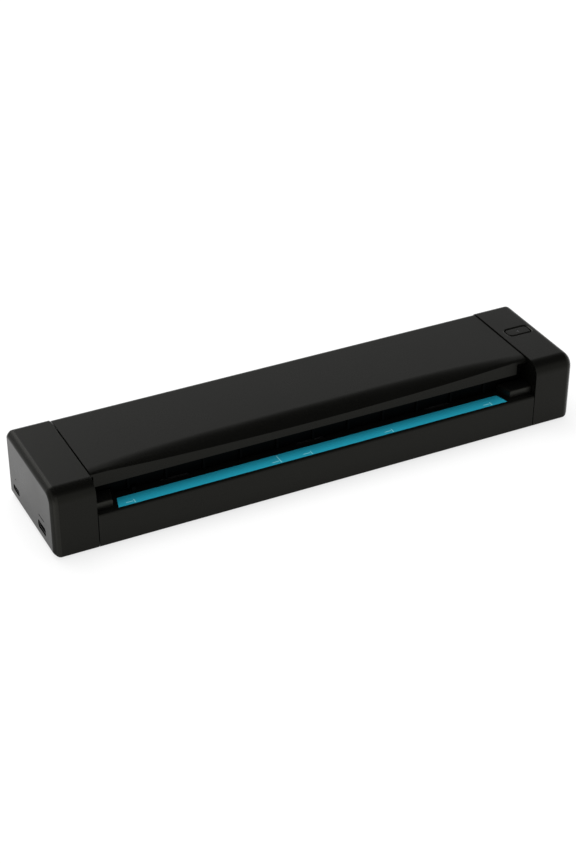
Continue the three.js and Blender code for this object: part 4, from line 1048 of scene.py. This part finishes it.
CHIP_LENGTH = 0.0016
CHIP_WIDTH = 0.0008
CHIP_HEIGHT = 0.0004
CHIP_EASE = EDGE / 6
CHIP_STEP = 0.0016
CHIPS_IN_A_ROW = 3
INNER_ROW = (0.0098, -0.0098)
BACK_ROW = (0.0065, 0.0135)


def capacitor(name, place):
    """A metal can with a groove round its foot."""
    start, waist, stop = (CAPACITOR_HEIGHT * share for share in CAPACITOR_GROOVE_SHARES)
    height, radius = CAPACITOR_HEIGHT, CAPACITOR_RADIUS
    profile = [(0, CORE), (0, radius), (start, radius), (waist, radius * CAPACITOR_WAIST_SHARE),
               (stop, radius), (height - HALF_EDGE, radius), (height, radius - HALF_EDGE), (height, CORE)]
    return add_piece(name, turned(profile, place, ALONG_Z), "base", "steel")


def main_board_parts(node):
    """Two capacitors, a crystal, and two rows of resistors across each other."""
    low = box_of(node)[0]
    edge, top = low.x, low.z + BOARD_THICKNESS
    bottom = top - SLIVER
    for k in range(CAPACITORS):
        place = (edge + CAPACITOR_INSET, CAPACITOR_FIRST - CAPACITOR_STEP * k, bottom)
        capacitor(f"board_capacitor_{k + 1}", place)
    eased_box("board_crystal", (edge + CRYSTAL_FROM[X], CRYSTAL_FROM[Y], bottom),
              (edge + CRYSTAL_TO[X], CRYSTAL_TO[Y], top + CRYSTAL_HEIGHT), HALF_EDGE, "base", "steel")
    steps = [CHIP_STEP * k for k in range(CHIPS_IN_A_ROW)]
    chips = [(INNER_ROW[X], INNER_ROW[Y] + step, CHIP_LENGTH, CHIP_WIDTH) for step in steps]
    chips += [(BACK_ROW[X] + step, BACK_ROW[Y], CHIP_WIDTH, CHIP_LENGTH) for step in steps]
    for number, (inset, y, across, deep) in enumerate(chips, 1):
        eased_box(f"board_resistor_{number}", (edge + inset, y, bottom),
                  (edge + inset + across, y + deep, top + CHIP_HEIGHT), CHIP_EASE, "base", "guide", "chip")


# The marks on the strip, at listed places along it. One tick runs right across it.

TICKS = (-0.107, -0.025, -0.007, 0.0415, 0.103)
LONG_TICK = TICKS[1]
TICK_HALF = 0.00025
TICK_FRONT = 0.001
TICK_LENGTH = 0.003
DASH_LENGTH = 0.0038
DASH_GAP = 0.0008
DASH_SHARE = 0.55
MARK_RISE = 0.00003
MARK_EASE = MARK_RISE / 4


def strip_marks(node):
    """Fine printed marks on the strip, each a dash and a tick, which show where narrow pages go."""
    low, high, _ = box_of(node)
    bottom, top = high.z - MARK_RISE, high.z + MARK_RISE
    near = low.y + TICK_FRONT
    line = near + TICK_LENGTH * DASH_SHARE
    for k, x in enumerate(TICKS, 1):
        far = high.y - TICK_FRONT if x == LONG_TICK else near + TICK_LENGTH
        end = x - DASH_GAP
        eased_box(f"strip_tick_{k}", (x - TICK_HALF, near, bottom), (x + TICK_HALF, far, top),
                  MARK_EASE, "base", "strip", "ink")
        eased_box(f"strip_dash_{k}", (end - DASH_LENGTH, line - TICK_HALF, bottom),
                  (end, line + TICK_HALF, top), MARK_EASE, "base", "strip", "ink")


# The studio and the scanner, made from all of this.

bpy.context.scene.view_settings.view_transform = "Standard"
make_camera()
make_world()
make_floor()
lamp("top_softbox", place=(-0.1, 0.45, 1.3), size=(1.0, 1.0), power=14, gloss=False)
lamp("left_panel", place=(-1.2, 0.9, 0.15), size=(1.2, 0.3), power=8, gloss=False)
lamp("back_strip", place=(-0.26, 0.9, 0.82), size=(0.8, 0.5), power=1.3)

for name, slot in slot_of.items():
    mesh = nodes[name].data
    mesh.materials.clear()
    mesh.materials.append(looks[slot])
nodes["scan_flex"].data.materials[0] = looks["cable"]

top_cover("top_cover")
left_end_cover("left_end_cover")
right_end_cover("right_end_cover")
shell("base_tray", [(X, end_of("top_cover", which), SEAM_EASE) for which in (LOW, HIGH)])
button("scan_button")
shell("guide_strip", [(Z, end_of("guide_strip", HIGH, Z), THIN_EASE)])
shell("entry_guide", look="blocks")
# The parts deep in the throat take the shaded look, which paints shade on them.
for name in ("upper_guide", "exit_guide", "sensor_lever"):
    shell(name, look="shaded")
for name in ("backing_plate", "scan_module", "front_pinch_spring", "rear_pinch_spring", "gear_bracket",
             "main_board", "button_board"):
    shell(name)
for name in ("feed_gear", "exit_gear", "idler_gear", "motor_pinion"):
    shell(name, [(X, end_of(name, which), THIN_EASE) for which in (LOW, HIGH)])

for name in ("feed_shaft", "exit_shaft", "front_pinch_axle", "rear_pinch_axle", "idler_axle", "motor_shaft"):
    rod(name)
for number in (1, 2, 3):
    for line in ("feed", "exit"):
        tyre(f"{line}_tyre_{number}")
    for line in ("front", "rear"):
        pinch_roller(f"{line}_pinch_roller_{number}")
for name, side in (("left", -1), ("right", 1)):
    bush(f"{name}_feed_bush", side)
    bush(f"{name}_exit_bush", side)
    hinge_pin(f"{name}_hinge_pin", side)
for number in (1, 2, 3, 4):
    foot(f"foot_{number}")
    screw(f"cover_screw_{number}")
motor_can("motor")
status_dome("status_lens")

for name in ("data_socket", "power_socket"):
    socket_shell(name)
    socket_tongue(name)
light_bar("scan_module")
lens_row("scan_module")
main_board_parts("main_board")
strip_marks("guide_strip")
